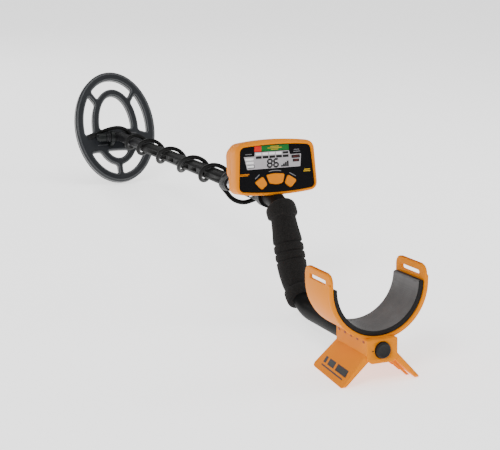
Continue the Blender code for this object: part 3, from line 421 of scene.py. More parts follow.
def loft_faces(rings, closed=False, caps=True):
    """Faces that join equal loops of points in order; closed joins the last to the first."""
    count = len(rings[0])
    verts = [p for ring in rings for p in ring]
    faces = []
    spans = len(rings) if closed else len(rings) - 1
    for i in range(spans):
        a, b = i * count, ((i + 1) % len(rings)) * count
        faces += [(a + k, a + (k + 1) % count, b + (k + 1) % count, b + k)
                  for k in range(count)]
    if caps and not closed:
        faces.append(tuple(range(count))[::-1])
        faces.append(tuple(range(len(verts) - count, len(verts))))
    return verts, faces


def loft(name, rings, place, material, body, closed=False, angle=40.0):
    verts, faces = loft_faces(rings, closed)
    return from_faces(name, verts, faces, place, material, body, angle)


def spin(name, profile, place, centre, direction, material, body, steps=48, angle=35.0):
    """A turned piece: profile gives (radius, height) along direction from centre."""
    turn = Vector(direction).to_track_quat("Z", "Y").to_matrix()
    rings = []
    for radius, height in profile:
        radius = max(radius, 0.001)
        rings.append([Vector(centre) + turn @ Vector((radius * math.cos(2 * math.pi * k / steps),
                                                      radius * math.sin(2 * math.pi * k / steps),
                                                      height)) for k in range(steps)])
    return loft(name, rings, place, material, body, angle=angle)


def tube_rings(points, radii, sides):
    """Loops of points round a line, kept from twisting."""
    points = [Vector(p) for p in points]
    rings = []
    across = Vector((1, 0, 0))
    for i, point in enumerate(points):
        ahead = (points[min(i + 1, len(points) - 1)] - points[max(i - 1, 0)]).normalized()
        across = (across - ahead * across.dot(ahead)).normalized()
        upward = ahead.cross(across)
        radius = radii[i] if isinstance(radii, (list, tuple)) else radii
        rings.append([point + (across * math.cos(2 * math.pi * k / sides)
                               + upward * math.sin(2 * math.pi * k / sides)) * radius
                      for k in range(sides)])
    return rings


def tube(name, points, radii, place, material, body, sides=40, angle=40.0):
    return loft(name, tube_rings(points, radii, sides), place, material, body, angle=angle)


def plate(name, outlines, low, high, edge, place, material, body, segments=3, angle=35.0):
    """A flat plate with rounded edges; the first outline is its rim and the rest are holes."""
    curve = bpy.data.curves.new(name, "CURVE")
    curve.dimensions = "2D"
    curve.fill_mode = "BOTH"
    curve.extrude = (high - low) / 2 - edge
    curve.bevel_depth = edge
    curve.bevel_resolution = segments
    curve.offset = -edge
    for outline in outlines:
        spline = curve.splines.new("POLY")
        spline.points.add(len(outline) - 1)
        for point, (x, y) in zip(spline.points, outline):
            point.co = (x, y, 0, 1)
        spline.use_cyclic_u = True
    carrier = bpy.data.objects.new(name, curve)
    bpy.context.scene.collection.objects.link(carrier)
    bpy.context.view_layer.update()
    depsgraph = bpy.context.evaluated_depsgraph_get()
    mesh = bpy.data.meshes.new_from_object(carrier.evaluated_get(depsgraph))
    bpy.data.objects.remove(carrier, do_unlink=True)
    mesh.transform(place @ Matrix.Translation((0, 0, (low + high) / 2)))
    weld(mesh)
    piece = finish_mesh(name, mesh, material, body, angle)
    even = piece.modifiers.new("even_normals", "WEIGHTED_NORMAL")
    even.keep_sharp = True
    return piece


def carve(piece, *tools):
    """Cut hidden meshes out of a piece and keep the result."""
    for tool in tools:
        step = piece.modifiers.new(tool.name, "BOOLEAN")
        step.operation = "DIFFERENCE"
        step.solver = "EXACT"
        step.object = tool
    bpy.context.view_layer.update()
    depsgraph = bpy.context.evaluated_depsgraph_get()
    mesh = bpy.data.meshes.new_from_object(piece.evaluated_get(depsgraph))
    piece.modifiers.clear()
    old = piece.data
    piece.data = mesh
    mesh.name = piece.name
    bpy.data.meshes.remove(old)
    for tool in tools:
        bpy.data.objects.remove(tool, do_unlink=True)
    return piece


def merged(name, pieces):
    """Join separate shells into one object; each keeps its material."""
    work = bmesh.new()
    looks = []
    for piece in pieces:
        look = piece.data.materials[0]
        if look not in looks:
            looks.append(look)
        start = len(work.faces)
        work.from_mesh(piece.data)
        work.faces.ensure_lookup_table()
        for face in work.faces[start:]:
            face.material_index = looks.index(look)
    mesh = bpy.data.meshes.new(name)
    work.to_mesh(mesh)
    work.free()
    for look in looks:
        mesh.materials.append(look)
    body = pieces[0].get("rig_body")
    for piece in pieces:
        bpy.data.objects.remove(piece, do_unlink=True)
    mesh.shade_smooth()
    mesh.set_sharp_from_angle(angle=math.radians(38))
    joined = bpy.data.objects.new(name, mesh)
    bpy.context.scene.collection.objects.link(joined)
    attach(joined, body)
    return joined


# ------------------------------------------------------------------ outlines

def arc(centre, radius, start, end, steps):
    angles = [math.radians(start + (end - start) * i / steps) for i in range(steps + 1)]
    return [(centre[0] + radius * math.cos(a), centre[1] + radius * math.sin(a)) for a in angles]


def trimmed(line, amount):
    """A line of points with a length taken off each end."""
    line = [Vector(p) for p in line]
    total = sum((b - a).length for a, b in zip(line, line[1:]))
    amount = min(amount, total * 0.45)
    for _ in range(2):
        left = amount
        while (line[1] - line[0]).length < left:
            left -= (line[1] - line[0]).length
            line.pop(0)
        line[0] = line[0] + (line[1] - line[0]).normalized() * left
        line.reverse()
    return line


def softened(edges, radius, steps=5):
    """A closed outline of edges that meet at corners, each corner rounded."""
    outline = []
    cut = [trimmed(edge, radius) for edge in edges]
    for i, edge in enumerate(cut):
        corner = Vector(edges[i][-1])
        after = cut[(i + 1) % len(cut)][0]
        outline += [tuple(p) for p in edge]
        last = edge[-1]
        for k in range(1, steps):
            t = k / steps
            outline.append(tuple((1 - t) ** 2 * last + 2 * t * (1 - t) * corner + t * t * after))
    return outline


def polygon(corners, radius, steps=5):
    edges = [[corners[i], corners[(i + 1) % len(corners)]] for i in range(len(corners))]
    return softened(edges, radius, steps)


def shifted(outline, amount):
    """Every edge of a closed outline moved out by the same amount."""
    corners = [Vector(p) for p in outline]
    area = sum(p.x * q.y - p.y * q.x for p, q in zip(corners, corners[1:] + corners[:1]))
    side = 1 if area > 0 else -1
    result = []
    for i, here in enumerate(corners):
        come = (here - corners[i - 1]).normalized()
        leave = (corners[(i + 1) % len(corners)] - here).normalized()
        first = Vector((come.y, -come.x)) * side
        second = Vector((leave.y, -leave.x)) * side
        result.append(tuple(here + (first + second) * amount / (1 + first.dot(second))))
    return result


def bowed(half_top, half_bottom, top, bottom, bow_top, bow_bottom, radius):
    """A four-sided outline whose top and bottom bow outwards, with rounded corners."""
    steps = 16
    lower = [(-half_bottom + 2 * half_bottom * i / steps,
              bottom - bow_bottom * (1 - (2 * i / steps - 1) ** 2)) for i in range(steps + 1)]
    upper = [(half_top - 2 * half_top * i / steps,
              top + bow_top * (1 - (2 * i / steps - 1) ** 2)) for i in range(steps + 1)]
    edges = [lower, [lower[-1], upper[0]], upper, [upper[-1], lower[0]]]
    outline = []
    for i, edge in enumerate(edges):
        line = trimmed(edge, radius)
        count = 14 if i % 2 == 0 else 8
        outline += even_points(line, count)
        corner = Vector(edge[-1])
        after = trimmed(edges[(i + 1) % 4], radius)[0]
        for k in range(1, 7):
            t = k / 7
            outline.append(tuple((1 - t) ** 2 * line[-1] + 2 * t * (1 - t) * corner
                                 + t * t * after))
    return outline


def even_points(line, count):
    lengths = [(b - a).length for a, b in zip(line, line[1:])]
    total = sum(lengths)
    result = []
    for i in range(count + 1):
        left = total * i / count
        k = 0
        while k < len(lengths) - 1 and left > lengths[k]:
            left -= lengths[k]
            k += 1
        result.append(tuple(line[k] + (line[k + 1] - line[k]).normalized() * left))
    return result


def case_outline(inset):
    return bowed(60.3 - inset, 63.3 - inset, 35.5 - inset, -34.4 + inset, 5.3, 4.3,
                 max(12.0 - inset, 3.5))


def panel_outline(inset):
    return bowed(54.5 - inset, 59.0 - inset, 30.5 - inset, -30.8 + inset, 3.0, 4.0,
                 max(7.5 - inset, 2.5))


def smooth_line(points, steps):
    """A smooth curve through points, with steps stretches between each two."""
    nodes = [Vector(p) for p in points]
    nodes = [2 * nodes[0] - nodes[1]] + nodes + [2 * nodes[-1] - nodes[-2]]
    result = []
    for i in range(1, len(nodes) - 2):
        a, b, c, d = nodes[i - 1:i + 3]
        for k in range(steps):
            t = k / steps
            result.append(0.5 * (2 * b + (c - a) * t + (2 * a - 5 * b + 4 * c - d) * t * t
                                 + (3 * b - a - 3 * c + d) * t ** 3))
    return result + [nodes[-2]]


# ------------------------------------------------------------------ stem

def fillet(corner, before, after, radius, steps):
    here = Vector(corner)
    back = (Vector(before) - here).normalized()
    ahead = (Vector(after) - here).normalized()
    half = back.angle(ahead) / 2
    reach = radius / math.tan(half)
    centre = here + (back + ahead).normalized() * radius / math.sin(half)
    start = here + back * reach - centre
    end = here + ahead * reach - centre
    turn_all = -start.angle_signed(end)
    points = []
    for k in range(steps + 1):
        turn = turn_all * k / steps
        points.append((centre.x + start.x * math.cos(turn) - start.y * math.sin(turn),
                       centre.y + start.x * math.sin(turn) + start.y * math.cos(turn)))
    return points


def shaft_point(along):
    tilt = math.radians(SHAFT_TILT)
    return (UPPER_CORNER[0] + along * math.cos(tilt), UPPER_CORNER[1] - along * math.sin(tilt))


def stem_line():
    rear = (0.0, PLUG_HEIGHT)
    front = shaft_point(UPPER_END)
    low = fillet(LOWER_CORNER, rear, UPPER_CORNER, LOWER_BEND, 22)
    high = fillet(UPPER_CORNER, LOWER_CORNER, front, UPPER_BEND, 18)
    return [(0.0, y, z) for y, z in [rear] + low + high + [front]]


def distances(line):
    """How far along the line each of its points is."""
    total, result = 0.0, [0.0]
    for a, b in zip(line, line[1:]):
        total += (Vector(b) - Vector(a)).length
        result.append(total)
    return result


def along_line(line, distance):
    left = distance
    for a, b in zip(line, line[1:]):
        step = Vector(b) - Vector(a)
        if left <= step.length:
            return Vector(a) + step.normalized() * left
        left -= step.length
    return Vector(line[-1])


def hollow_tube(name, start, end, radius, wall, material, body, holes=()):
    """A straight tube on the shaft's axis, with round holes in its -X side."""
    profile = [(radius - wall, start), (radius - 0.4, start), (radius, start + 0.6),
               (radius, end - 0.6), (radius - 0.4, end), (radius - wall, end)]
    steps = 48
    rings = [[(r * math.cos(2 * math.pi * k / steps), y, r * math.sin(2 * math.pi * k / steps))
              for k in range(steps)] for r, y in profile]
    piece = loft(name, rings, SHAFT, material, body, closed=True)
    tools = []
    for number, place in enumerate(holes):
        tools.append(spin(f"{name}_hole_{number}", [(3.6, 0), (3.6, 14)], SHAFT,
                          (-2, place, 0), (-1, 0, 0), material, None, 20))
    return carve(piece, *tools) if tools else piece


def build_stem():
    line = stem_line()
    outer = tube_rings(line, UPPER_RADIUS, 48)
    inner = tube_rings(line, UPPER_RADIUS - 1.25, 48)
    upper = loft("upper_stem_tube", outer + inner[::-1], BODY, "tube", "frame", closed=True)
    hole = spin("lock_hole", [(3.6, 0), (3.6, 14)], SHAFT, (-4, LOCK_BUTTON_AT, 0), (-1, 0, 0),
                "tube", None, 20)
    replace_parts(carve(upper, hole), "upper_stem")
    places = [LOCK_BUTTON_AT] + [ADJUST_BUTTON_AT + HOLE_PITCH * k
                                 for k in range(-HOLES_EACH_WAY, HOLES_EACH_WAY + 1)]
    middle = hollow_tube("middle_stem_tube", 90, MIDDLE_END, MIDDLE_RADIUS, 1.2, "tube", "frame",
                         places)
    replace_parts(middle, "middle_stem")
    lower = hollow_tube("lower_stem_tube", LOWER_START, LOWER_END, LOWER_RADIUS, 2.0, "lower",
                        "lower_arm", [ADJUST_BUTTON_AT])
    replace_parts(lower, "lower_stem")
    build_snap("lock", LOCK_BUTTON_AT, UPPER_RADIUS, 9.9)
    build_snap("adjust", ADJUST_BUTTON_AT, MIDDLE_RADIUS, 7.55)
    build_tip()

    plug = spin("rear_end_plug", [(0, 5.6), (5.0, 5.7), (7.2, 6.1), (7.9, 6.4), (8.7, 6.35),
                                  (9.5, 5.8), (9.95, 4.9), (10.0, 3.6), (10.0, 0), (10.9, 0),
                                  (10.9, -14), (0, -14)],
                REAR, (0, 0, 0), (0, -1, 0), "cap", "frame")
    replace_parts(plug, "end_plug")
    collar = spin("stem_lock_collar", [(11.45, 0), (13.3, 0.3), (13.6, 1.2), (13.6, 4.6),
                                       (13.2, 5.4), (11.45, 5.6)],
                  SHAFT, (0, UPPER_END + 0.2, 0), (0, 1, 0), "plastic", "frame")


def build_snap(label, place, outer, inner):
    """The domed spring button in the -X side of the stem, and the leaf spring behind it."""
    flange = 4.2
    seat = outer - math.sqrt((inner - 0.3) ** 2 - flange ** 2)
    button = spin(f"{label}_button_dome",
                  [(0, 2.2), (0.9, 2.13), (1.7, 1.85), (2.4, 1.35), (2.9, 0.6), (3.15, -0.3),
                   (3.2, -seat), (flange, -seat), (flange, -seat - 1), (0, -seat - 1)],
                  SHAFT, (-outer, place, 0), (-1, 0, 0), "steel", f"{label}_button", 32)
    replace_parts(button, f"{label}_button")
    near = -outer + seat + 1.3
    far = math.sqrt(inner ** 2 - 9) - 0.3
    slope = [(near + (far - near) * k / 8, place + 4.5 + 25 * k / 8) for k in range(9)]
    spine = [(near, place - 4), (near, place + 2)] + slope + [(far, place + 37), (far, place + 44)]
    inside = [(x + 0.6 * (x < 0) - 0.6 * (x >= far), y) for x, y in spine]
    outline = spine + [(x, y - 0.6 * (1 < y - place < 34)) for x, y in reversed(inside)]
    leaf = plate(f"{label}_leaf", [outline], -3.0, 3.0, 0.1, SHAFT, "steel", None, 1)
    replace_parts(leaf, f"{label}_spring")
    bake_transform(leaf)


def build_tip():
    """The lower stem's moulded end: a plug, a neck and the hinge knuckle."""
    end = SHAFT_LENGTH
    neck = spin("stem_tip_neck",
                [(7.2, LOWER_END - 28), (7.2, LOWER_END), (9.0, LOWER_END + 0.3),
                 (9.55, LOWER_END + 1.0), (9.55, end - 9), (8.6, end - 4), (0, end - 4)],
                SHAFT, (0, 0, 0), (0, 1, 0), "plastic", "lower_arm")
    knuckle = spin("stem_tip_knuckle",
                   [(3.3, -10), (8.9, -10), (9.4, -9.4), (9.4, 9.4), (8.9, 10), (3.3, 10),
                    (3.3, -10)],
                   SHAFT, (0, end, 0), (1, 0, 0), "plastic", "lower_arm")
    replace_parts(merged("stem_tip_moulding", [neck, knuckle]), "stem_tip")


# ------------------------------------------------------------------ grip

GRIP_PROFILE = (
    (0.0, 14.5), (0.25, 18.4), (0.9, 20.3), (2.2, 21.3), (4.5, 21.8), (10.0, 21.9), (14.6, 21.7),
    (16.2, 21.0), (17.2, 19.9), (17.9, 18.5), (18.8, 17.9), (21.0, 17.9), (35.0, 18.9),
    (46.0, 20.3), (52.0, 20.8), (53.6, 20.7), (54.6, 20.0), (55.2, 18.9), (56.2, 18.5),
    (57.3, 18.9), (57.9, 20.1), (58.9, 20.9), (63.0, 21.3), (66.6, 21.0), (67.6, 20.4),
    (68.1, 19.3), (69.0, 18.9), (69.9, 19.3), (70.4, 20.4), (71.4, 21.0), (75.0, 21.3),
    (78.2, 21.0), (79.2, 20.4), (79.7, 19.3), (80.6, 18.9), (81.5, 19.3), (82.0, 20.4),
    (83.0, 21.0), (88.0, 20.9), (97.0, 20.4), (112.0, 18.9), (122.0, 17.5), (122.9, 18.0),
    (123.6, 19.2), (124.8, 20.0), (130.0, 20.3), (137.6, 20.3), (139.4, 19.8), (140.3, 18.8),
    (140.5, 13.6))


def build_grip():
    line = stem_line()
    far = distances(line)
    top = far[1 + 22 + 1] + 19.0
    points = [along_line(line, top - distance) for distance, radius in GRIP_PROFILE]
    smooth = [points[0]]
    for before, here, after in zip(points, points[1:], points[2:]):
        smooth.append((before + here * 2 + after) / 4 if (after - before).length < 3 else here)
    smooth.append(points[-1])
    grip = tube("foam_grip", smooth, [radius for distance, radius in GRIP_PROFILE], BODY, "foam",
                "frame", 56, 70)
    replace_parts(grip, "hand_grip")


# ------------------------------------------------------------------ arm cuff

CUFF_START = 5.0
CUFF_LENGTH = 73.0
CUFF_RISE = 77.4
CUFF_OUTER = 66.0
CUFF_WALL = 4.0
PAD_THICKNESS = 5.5
ARM_RISE = 20.2
YOKE_START = 0.3
YOKE_END = 81.0
YOKE_LIP = 2.4
YOKE_HALF = 21.0
FOOT_SPREAD = 54.0


def u_path(radius, rise, steps=56):
    """Points down one arm, round the U and up the other, with the outward direction."""
    result = []
    straight = 6
    for k in range(straight):
        result.append((-radius, CUFF_RISE + rise * (1 - k / straight), -1.0, 0.0))
    for k in range(steps + 1):
        a = math.pi + math.pi * k / steps
        result.append((radius * math.cos(a), CUFF_RISE + radius * math.sin(a), math.cos(a),
                       math.sin(a)))
    for k in range(1, straight + 1):
        result.append((radius, CUFF_RISE + rise * k / straight, 1.0, 0.0))
    return result


def band(name, radius, thickness, rise, start, end, rounding, edge, material):
    """A U-shaped band whose free ends are rounded in plan and whose rims are rounded."""
    path = u_path(radius, rise)
    height = distances([(p[0], p[1], 0) for p in path])
    total = height[-1]
    extra = [d for d in (0.6, 1.6, 3.2, 5.2, 8.0, 11.0) if d < rounding]
    stops = sorted(set([0.0] + extra + height[1:-1] + [total - d for d in extra] + [total]))
    half = (end - start) / 2
    middle = (start + end) / 2
    rings = []
    for stop in stops:
        k = max(i for i, h in enumerate(height) if h <= stop + 1e-6)
        k = min(k, len(path) - 2)
        share = (stop - height[k]) / (height[k + 1] - height[k])
        x, z, nx, nz = [a + (b - a) * share for a, b in zip(path[k], path[k + 1])]
        near = min(stop, total - stop)
        if near < rounding:
            reach = half - rounding + math.sqrt(rounding ** 2 - (rounding - near) ** 2)
        else:
            reach = half
        if near < edge:
            slim = edge - math.sqrt(max(edge ** 2 - (edge - near) ** 2, 0))
        else:
            slim = 0
        rings.append(rim_section(x, z, nx, nz, middle, reach, thickness, edge, slim))
    return loft(name, rings, REAR, material, "cuff", angle=60)


def rim_section(x, z, nx, nz, middle, reach, thickness, edge, slim):
    """A rounded strip across the band: along Y by reach and inwards by thickness."""
    points = []
    top, bottom = -slim, -thickness + slim
    reach = max(reach, edge + 0.1)
    for along, deep, start in ((-1, bottom, 180), (1, bottom, 270), (1, top, 0), (-1, top, 90)):
        for k in range(5):
            a = math.radians(start + 90 * k / 4)
            y = middle + along * (reach - edge) + edge * math.cos(a)
            d = deep + (edge if deep == bottom else -edge) + edge * math.sin(a)
            points.append((x + nx * d, y, z + nz * d))
    return points


def floor_height(y):
    """Where the floor is at a place along the rear tube, square to its axis."""
    tilt = math.radians(REAR_TILT)
    return (y * math.sin(tilt) - PLUG_HEIGHT) / math.cos(tilt)


def build_foot(side):
    """A plate that spreads from the yoke to the floor, with its lower corners rounded."""
    rings = []
    last = YOKE_END - YOKE_START
    sections = [(4.0, 0.0), (1.8, 0.5), (0.7, 1.6), (0.15, 3.2)]
    middle = [(0.0, 5.0 + (last - 10.0) * k / 12) for k in range(13)]
    mirrored = [(inset, last - along) for inset, along in reversed(sections)]
    for inset, along in sections + middle + mirrored:
        y = YOKE_START + along
        floor = floor_height(y)
        share = inset / 42
        low_x = FOOT_SPREAD - share * 33
        low_z = floor + inset
        ring = [(12, 2), (19.6, -3.6), (20.9, -5.2), (low_x, low_z + 0.9), (low_x - 0.7, low_z),
                (low_x - 5.4, low_z), (low_x - 6.3, low_z + 0.7), (16, -12), (8, -10)]
        rings.append([(side * x, y, z) for x, z in ring])
    foot = loft(f"cuff_foot_{side}", rings, REAR, "housing", "cuff", angle=38)
    ribs = []
    for number in range(4):
        y = YOKE_START + 12 + 18 * number
        low = floor_height(y) + 0.9
        rib = polygon([(side * 15.0, -11.2), (side * 16.5, -17.5), (side * 41.0, low),
                       (side * 45.5, low)], 0.8)
        ribs.append(plate(f"foot_rib_{side}_{number}", [rib], y - 0.9, y + 0.9, 0.3,
                          on_end(REAR), "housing", "cuff"))
    return [foot] + ribs


def build_cuff():
    start, end = CUFF_START, CUFF_START + CUFF_LENGTH
    shell = band("cuff_band", CUFF_OUTER, CUFF_WALL, ARM_RISE, start, end, 11.5, 1.9, "housing")
    slot_z = CUFF_RISE + ARM_RISE - 12
    middle = (start + end) / 2
    slot = polygon([(middle - 22.5, slot_z - 3.0), (middle + 22.5, slot_z - 3.0),
                    (middle + 22.5, slot_z + 3.0), (middle - 22.5, slot_z + 3.0)], 2.8)
    tools = [plate(f"slot_tool_{side}", [slot], side * CUFF_OUTER - 9, side * CUFF_OUTER + 9, 0.05,
                   on_side(REAR), "housing", None) for side in (-1, 1)]
    carve(shell, *tools)
    lip = band("cuff_rear_lip", CUFF_OUTER + 1.6, CUFF_WALL - 0.2, ARM_RISE - 12, start + 0.1,
               start + 5.4, 2.4, 1.6, "housing")
    top = 14.0
    yoke_outline = polygon([(-YOKE_HALF, -11), (-14.5, -16.4), (14.5, -16.4), (YOKE_HALF, -11),
                            (YOKE_HALF, top), (14, 14.6), (0, 13.4), (-14, 14.6),
                            (-YOKE_HALF, top)], 2.2)
    yoke = plate("cuff_yoke", [yoke_outline], -YOKE_LIP, YOKE_END, 1.3, on_end(REAR),
                 "housing", "cuff")
    bore = spin("yoke_bore_tool", [(12.95, -90), (12.95, 0.3)], REAR, (0, 0, 0), (0, -1, 0),
                "housing", None)
    plug_hole = spin("plug_hole_tool", [(10.5, -10), (10.5, 1.5), (11.6, 3.2)], REAR, (0, 0, 0),
                     (0, -1, 0), "housing", None)
    carve(yoke, bore, plug_hole)
    whole = merged("cuff_shell", [shell, lip, yoke] + build_foot(-1) + build_foot(1))
    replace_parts(whole, "arm_cuff")

    pad = band("cuff_padding", CUFF_OUTER - CUFF_WALL - 0.1, PAD_THICKNESS, 1.0, start + 2.4,
               end - 2.8, 4.0, 2.3, "pad")
    rim = band("cuff_pad_rim", CUFF_OUTER - CUFF_WALL - 0.12, PAD_THICKNESS + 0.35, 1.1,
               start + 2.0, start + 5.4, 1.5, 1.5, "rubber")
    pad = merged("cuff_lining", [pad, rim])
    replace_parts(pad, "cuff_pad")
    build_cuff_marks()


def build_cuff_marks():
    """Index marks along the yoke's left side, a tick by the plug, and stripes on the foot."""
    marks = []
    for number in range(5):
        y = 7 + 16.4 * number
        mark = polygon([(y - 2.6, 8.7), (y + 2.6, 8.7), (y + 2.6, 11.6), (y - 2.6, 11.6)], 0.7)
        marks.append(plate(f"yoke_mark_{number}", [mark], -YOKE_HALF - 0.18, -YOKE_HALF + 0.2,
                           0.05, on_side(REAR), "mark", "cuff"))
    merged("yoke_marks", marks)
    tick = polygon([(-14.6, -0.5), (-11.9, -0.5), (-11.9, 0.5), (-14.6, 0.5)], 0.2)
    plate("yoke_tick", [tick], -YOKE_LIP - 0.15, -YOKE_LIP + 0.2, 0.03, on_end(REAR), "ink",
          "cuff")
    blocks = [stripe(first, last, 0.55, 0.74) for first, last in ((8, 36), (41, 57), (62, 68))]
    blocks.append(stripe(10.0, 66.0, 0.80, 0.84))
    merged("foot_stripes", blocks)


def stripe(first, last, high, low):
    """A dark printed block on the left foot, between two shares of the way down it."""
    top = Vector((-20.9, -5.2))
    lean = 2.5
    rings = []
    for y in (first, last):
        lower = Vector((-FOOT_SPREAD, floor_height(y) + 0.9))
        out = Vector((lower.y - top.y, top.x - lower.x)).normalized() * 0.3
        ring = []
        for share, lift in ((high, 1), (low, 1), (low, -1), (high, -1)):
            point = top.lerp(lower, share) + out * lift
            ring.append((point.x, y + lean * (low - share) / (low - high), point.y))
        rings.append(ring)
    return loft("foot_stripe", rings, REAR, "ink", "cuff")


# ------------------------------------------------------------------ control box

LCD = ((-48.5, 17.6), (-44.5, -0.5), (37.6, -0.4), (39.6, 17.6), (22.2, 17.6), (21.0, 23.4),
       (-31.8, 23.4), (-32.4, 17.6))
KEYS = {
    "left": ((-34.6, -19.1), (-24.0, -30.5), (-14.9, -22.8), (-21.6, -10.9)),
    "middle": ((-16.4, -9.2), (-11.4, -22.3), (-1.5, -23.8), (8.6, -22.3), (12.4, -9.2),
               (-2.0, -7.6)),
    "right": ((30.9, -19.4), (17.4, -10.6), (11.4, -22.6), (20.8, -30.2)),
}


PRINT_TOP = -0.42
DISPLAY_TOP = -0.62


def at_depth(outline, z):
    return [(x, y, z) for x, y in outline]


def build_front():
    recess = ((3.8, -5.2), (3.8, -2.3), (0, -2.3), (0, 0.9), (-0.4, 1.6), (-1.1, 2.0))
    rim = ((3.4, 2.0), (2.0, 1.6), (0.9, 0.6), (0.2, -1.2), (0, -3.4), (0, -21.3), (0.15, -21.8),
           (0.5, -22.1), (2.6, -22.0), (2.6, -5.2))
    rings = [at_depth(panel_outline(inset), z) for inset, z in recess]
    rings += [at_depth(case_outline(inset), z) for inset, z in rim]
    shell = loft("box_front", rings, FACE, "housing", "frame", closed=True, angle=32)
    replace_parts(shell, "front_shell")


def build_back():
    shells = []
    steps = ((0.6, -22.3), (0.2, -22.7), (0.2, -28.6), (0.5, -29.8), (1.3, -31.0), (3.2, -32.0),
             (9.0, -32.0))
    ring = [at_depth(case_outline(inset), z) for inset, z in steps]
    shells.append(loft("box_ring", ring, FACE, "housing", "frame", angle=32))
    upper = polygon([(-56, -12), (56, -12), (56, 24), (47, 34), (-47, 34), (-56, 24)], 7)
    lower = polygon([(-51, -34), (-19, -34), (-17, -27), (17, -27), (19, -34), (51, -34),
                     (51, 0), (-51, 0)], 4.5)
    for label, outline, depth in (("upper", upper, 55.0), ("lower", lower, 50.0)):
        rings = [at_depth(shifted(outline, -1.0), -23.0), at_depth(outline, -24.0),
                 at_depth(outline, -depth + 4.5), at_depth(shifted(outline, -0.5), -depth + 2.2),
                 at_depth(shifted(outline, -1.7), -depth + 0.7),
                 at_depth(shifted(outline, -3.4), -depth)]
        shells.append(loft(f"box_{label}", rings, FACE, "housing", "frame", angle=32))
    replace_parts(merged("box_back", shells), "rear_shell")

    cover_outline = polygon([(-53, -9), (53, -9), (53, 26.2), (-53, 26.2)], 4.5)
    cover = plate("battery_door", [cover_outline], -57.8, -55.2, 1.0, FACE, "housing",
                  "battery_cover")
    ribs = []
    for number in range(4):
        y = 10 + 3 * number
        rib = polygon([(-12, y), (12, y), (12, y + 1.4), (-12, y + 1.4)], 0.6)
        ribs.append(plate(f"door_rib_{number}", [rib], -58.5, -57.2, 0.4, FACE, "housing",
                          "battery_cover"))
    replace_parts(merged("battery_door_ribbed", [cover] + ribs), "battery_cover")


SEGMENTS = {"a": ((0, 1), (1, 1)), "b": ((1, 1), (1, 0.5)), "c": ((1, 0.5), (1, 0)),
            "d": ((0, 0), (1, 0)), "e": ((0, 0), (0, 0.5)), "f": ((0, 0.5), (0, 1)),
            "g": ((0, 0.5), (1, 0.5))}
DIGITS = {"8": "abcdefg", "6": "acdefg"}


def bar_outline(first, last, width, gap):
    """A display segment between two points, with pointed ends."""
    first, last = Vector(first), Vector(last)
    along = (last - first).normalized()
    side = Vector((-along.y, along.x)) * width / 2
    first, last = first + along * gap, last - along * gap
    tip = along * width / 2
    return [tuple(p) for p in (first, first + tip + side, last - tip + side, last,
                               last - tip - side, first + tip - side)]


def digit(name, character, corner, size):
    """A seven-segment numeral from its lower left corner; the top leans to the right."""
    pieces = []
    for segment in DIGITS[character]:
        ends = []
        for u, v in SEGMENTS[segment]:
            ends.append((corner[0] + u * size[0] + v * 0.9, corner[1] + v * size[1]))
        outline = bar_outline(*ends, 2.6, 0.0)
        pieces.append(flat(f"{name}_{segment}", outline, DISPLAY_TOP, "ink"))
    return merged(name, pieces)


def flat(name, outline, top, material, body="frame"):
    """A printed mark: a very thin plate just proud of the surface below it."""
    return plate(name, [outline], top - 0.12, top, 0.02, FACE, material, body, 0)


def quad(x1, y1, x2, y2, lean=0.0):
    """A parallelogram from its lower left to its upper right corner."""
    return [(x1, y1), (x2, y1), (x2 + lean, y2), (x1 + lean, y2)]


def build_panel():
    holes = [shifted(LCD, 0.3)] + [shifted(polygon(k, 3.0), 0.6) for k in KEYS.values()]
    panel = plate("printed_panel", [panel_outline(0.3)] + holes, -2.0, -0.5, 0.15, FACE, "panel",
                  "frame", 1)
    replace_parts(panel, "face_panel")
    window = plate("display_window", [LCD], -1.8, -0.7, 0.1, FACE, "screen", "frame", 1)
    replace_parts(window, "lcd_window")
    for label, corners in KEYS.items():
        key = polygon(corners, 3.4, 6)
        rings = [at_depth(key, -6.0), at_depth(key, 0.0), at_depth(shifted(key, -0.25), 0.6),
                 at_depth(shifted(key, -0.8), 1.0), at_depth(shifted(key, -1.8), 1.2)]
        cap = loft(f"{label}_key", rings, FACE, "key", f"{label}_button", angle=50)
        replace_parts(cap, f"{label}_button")
    build_print()
    build_display()


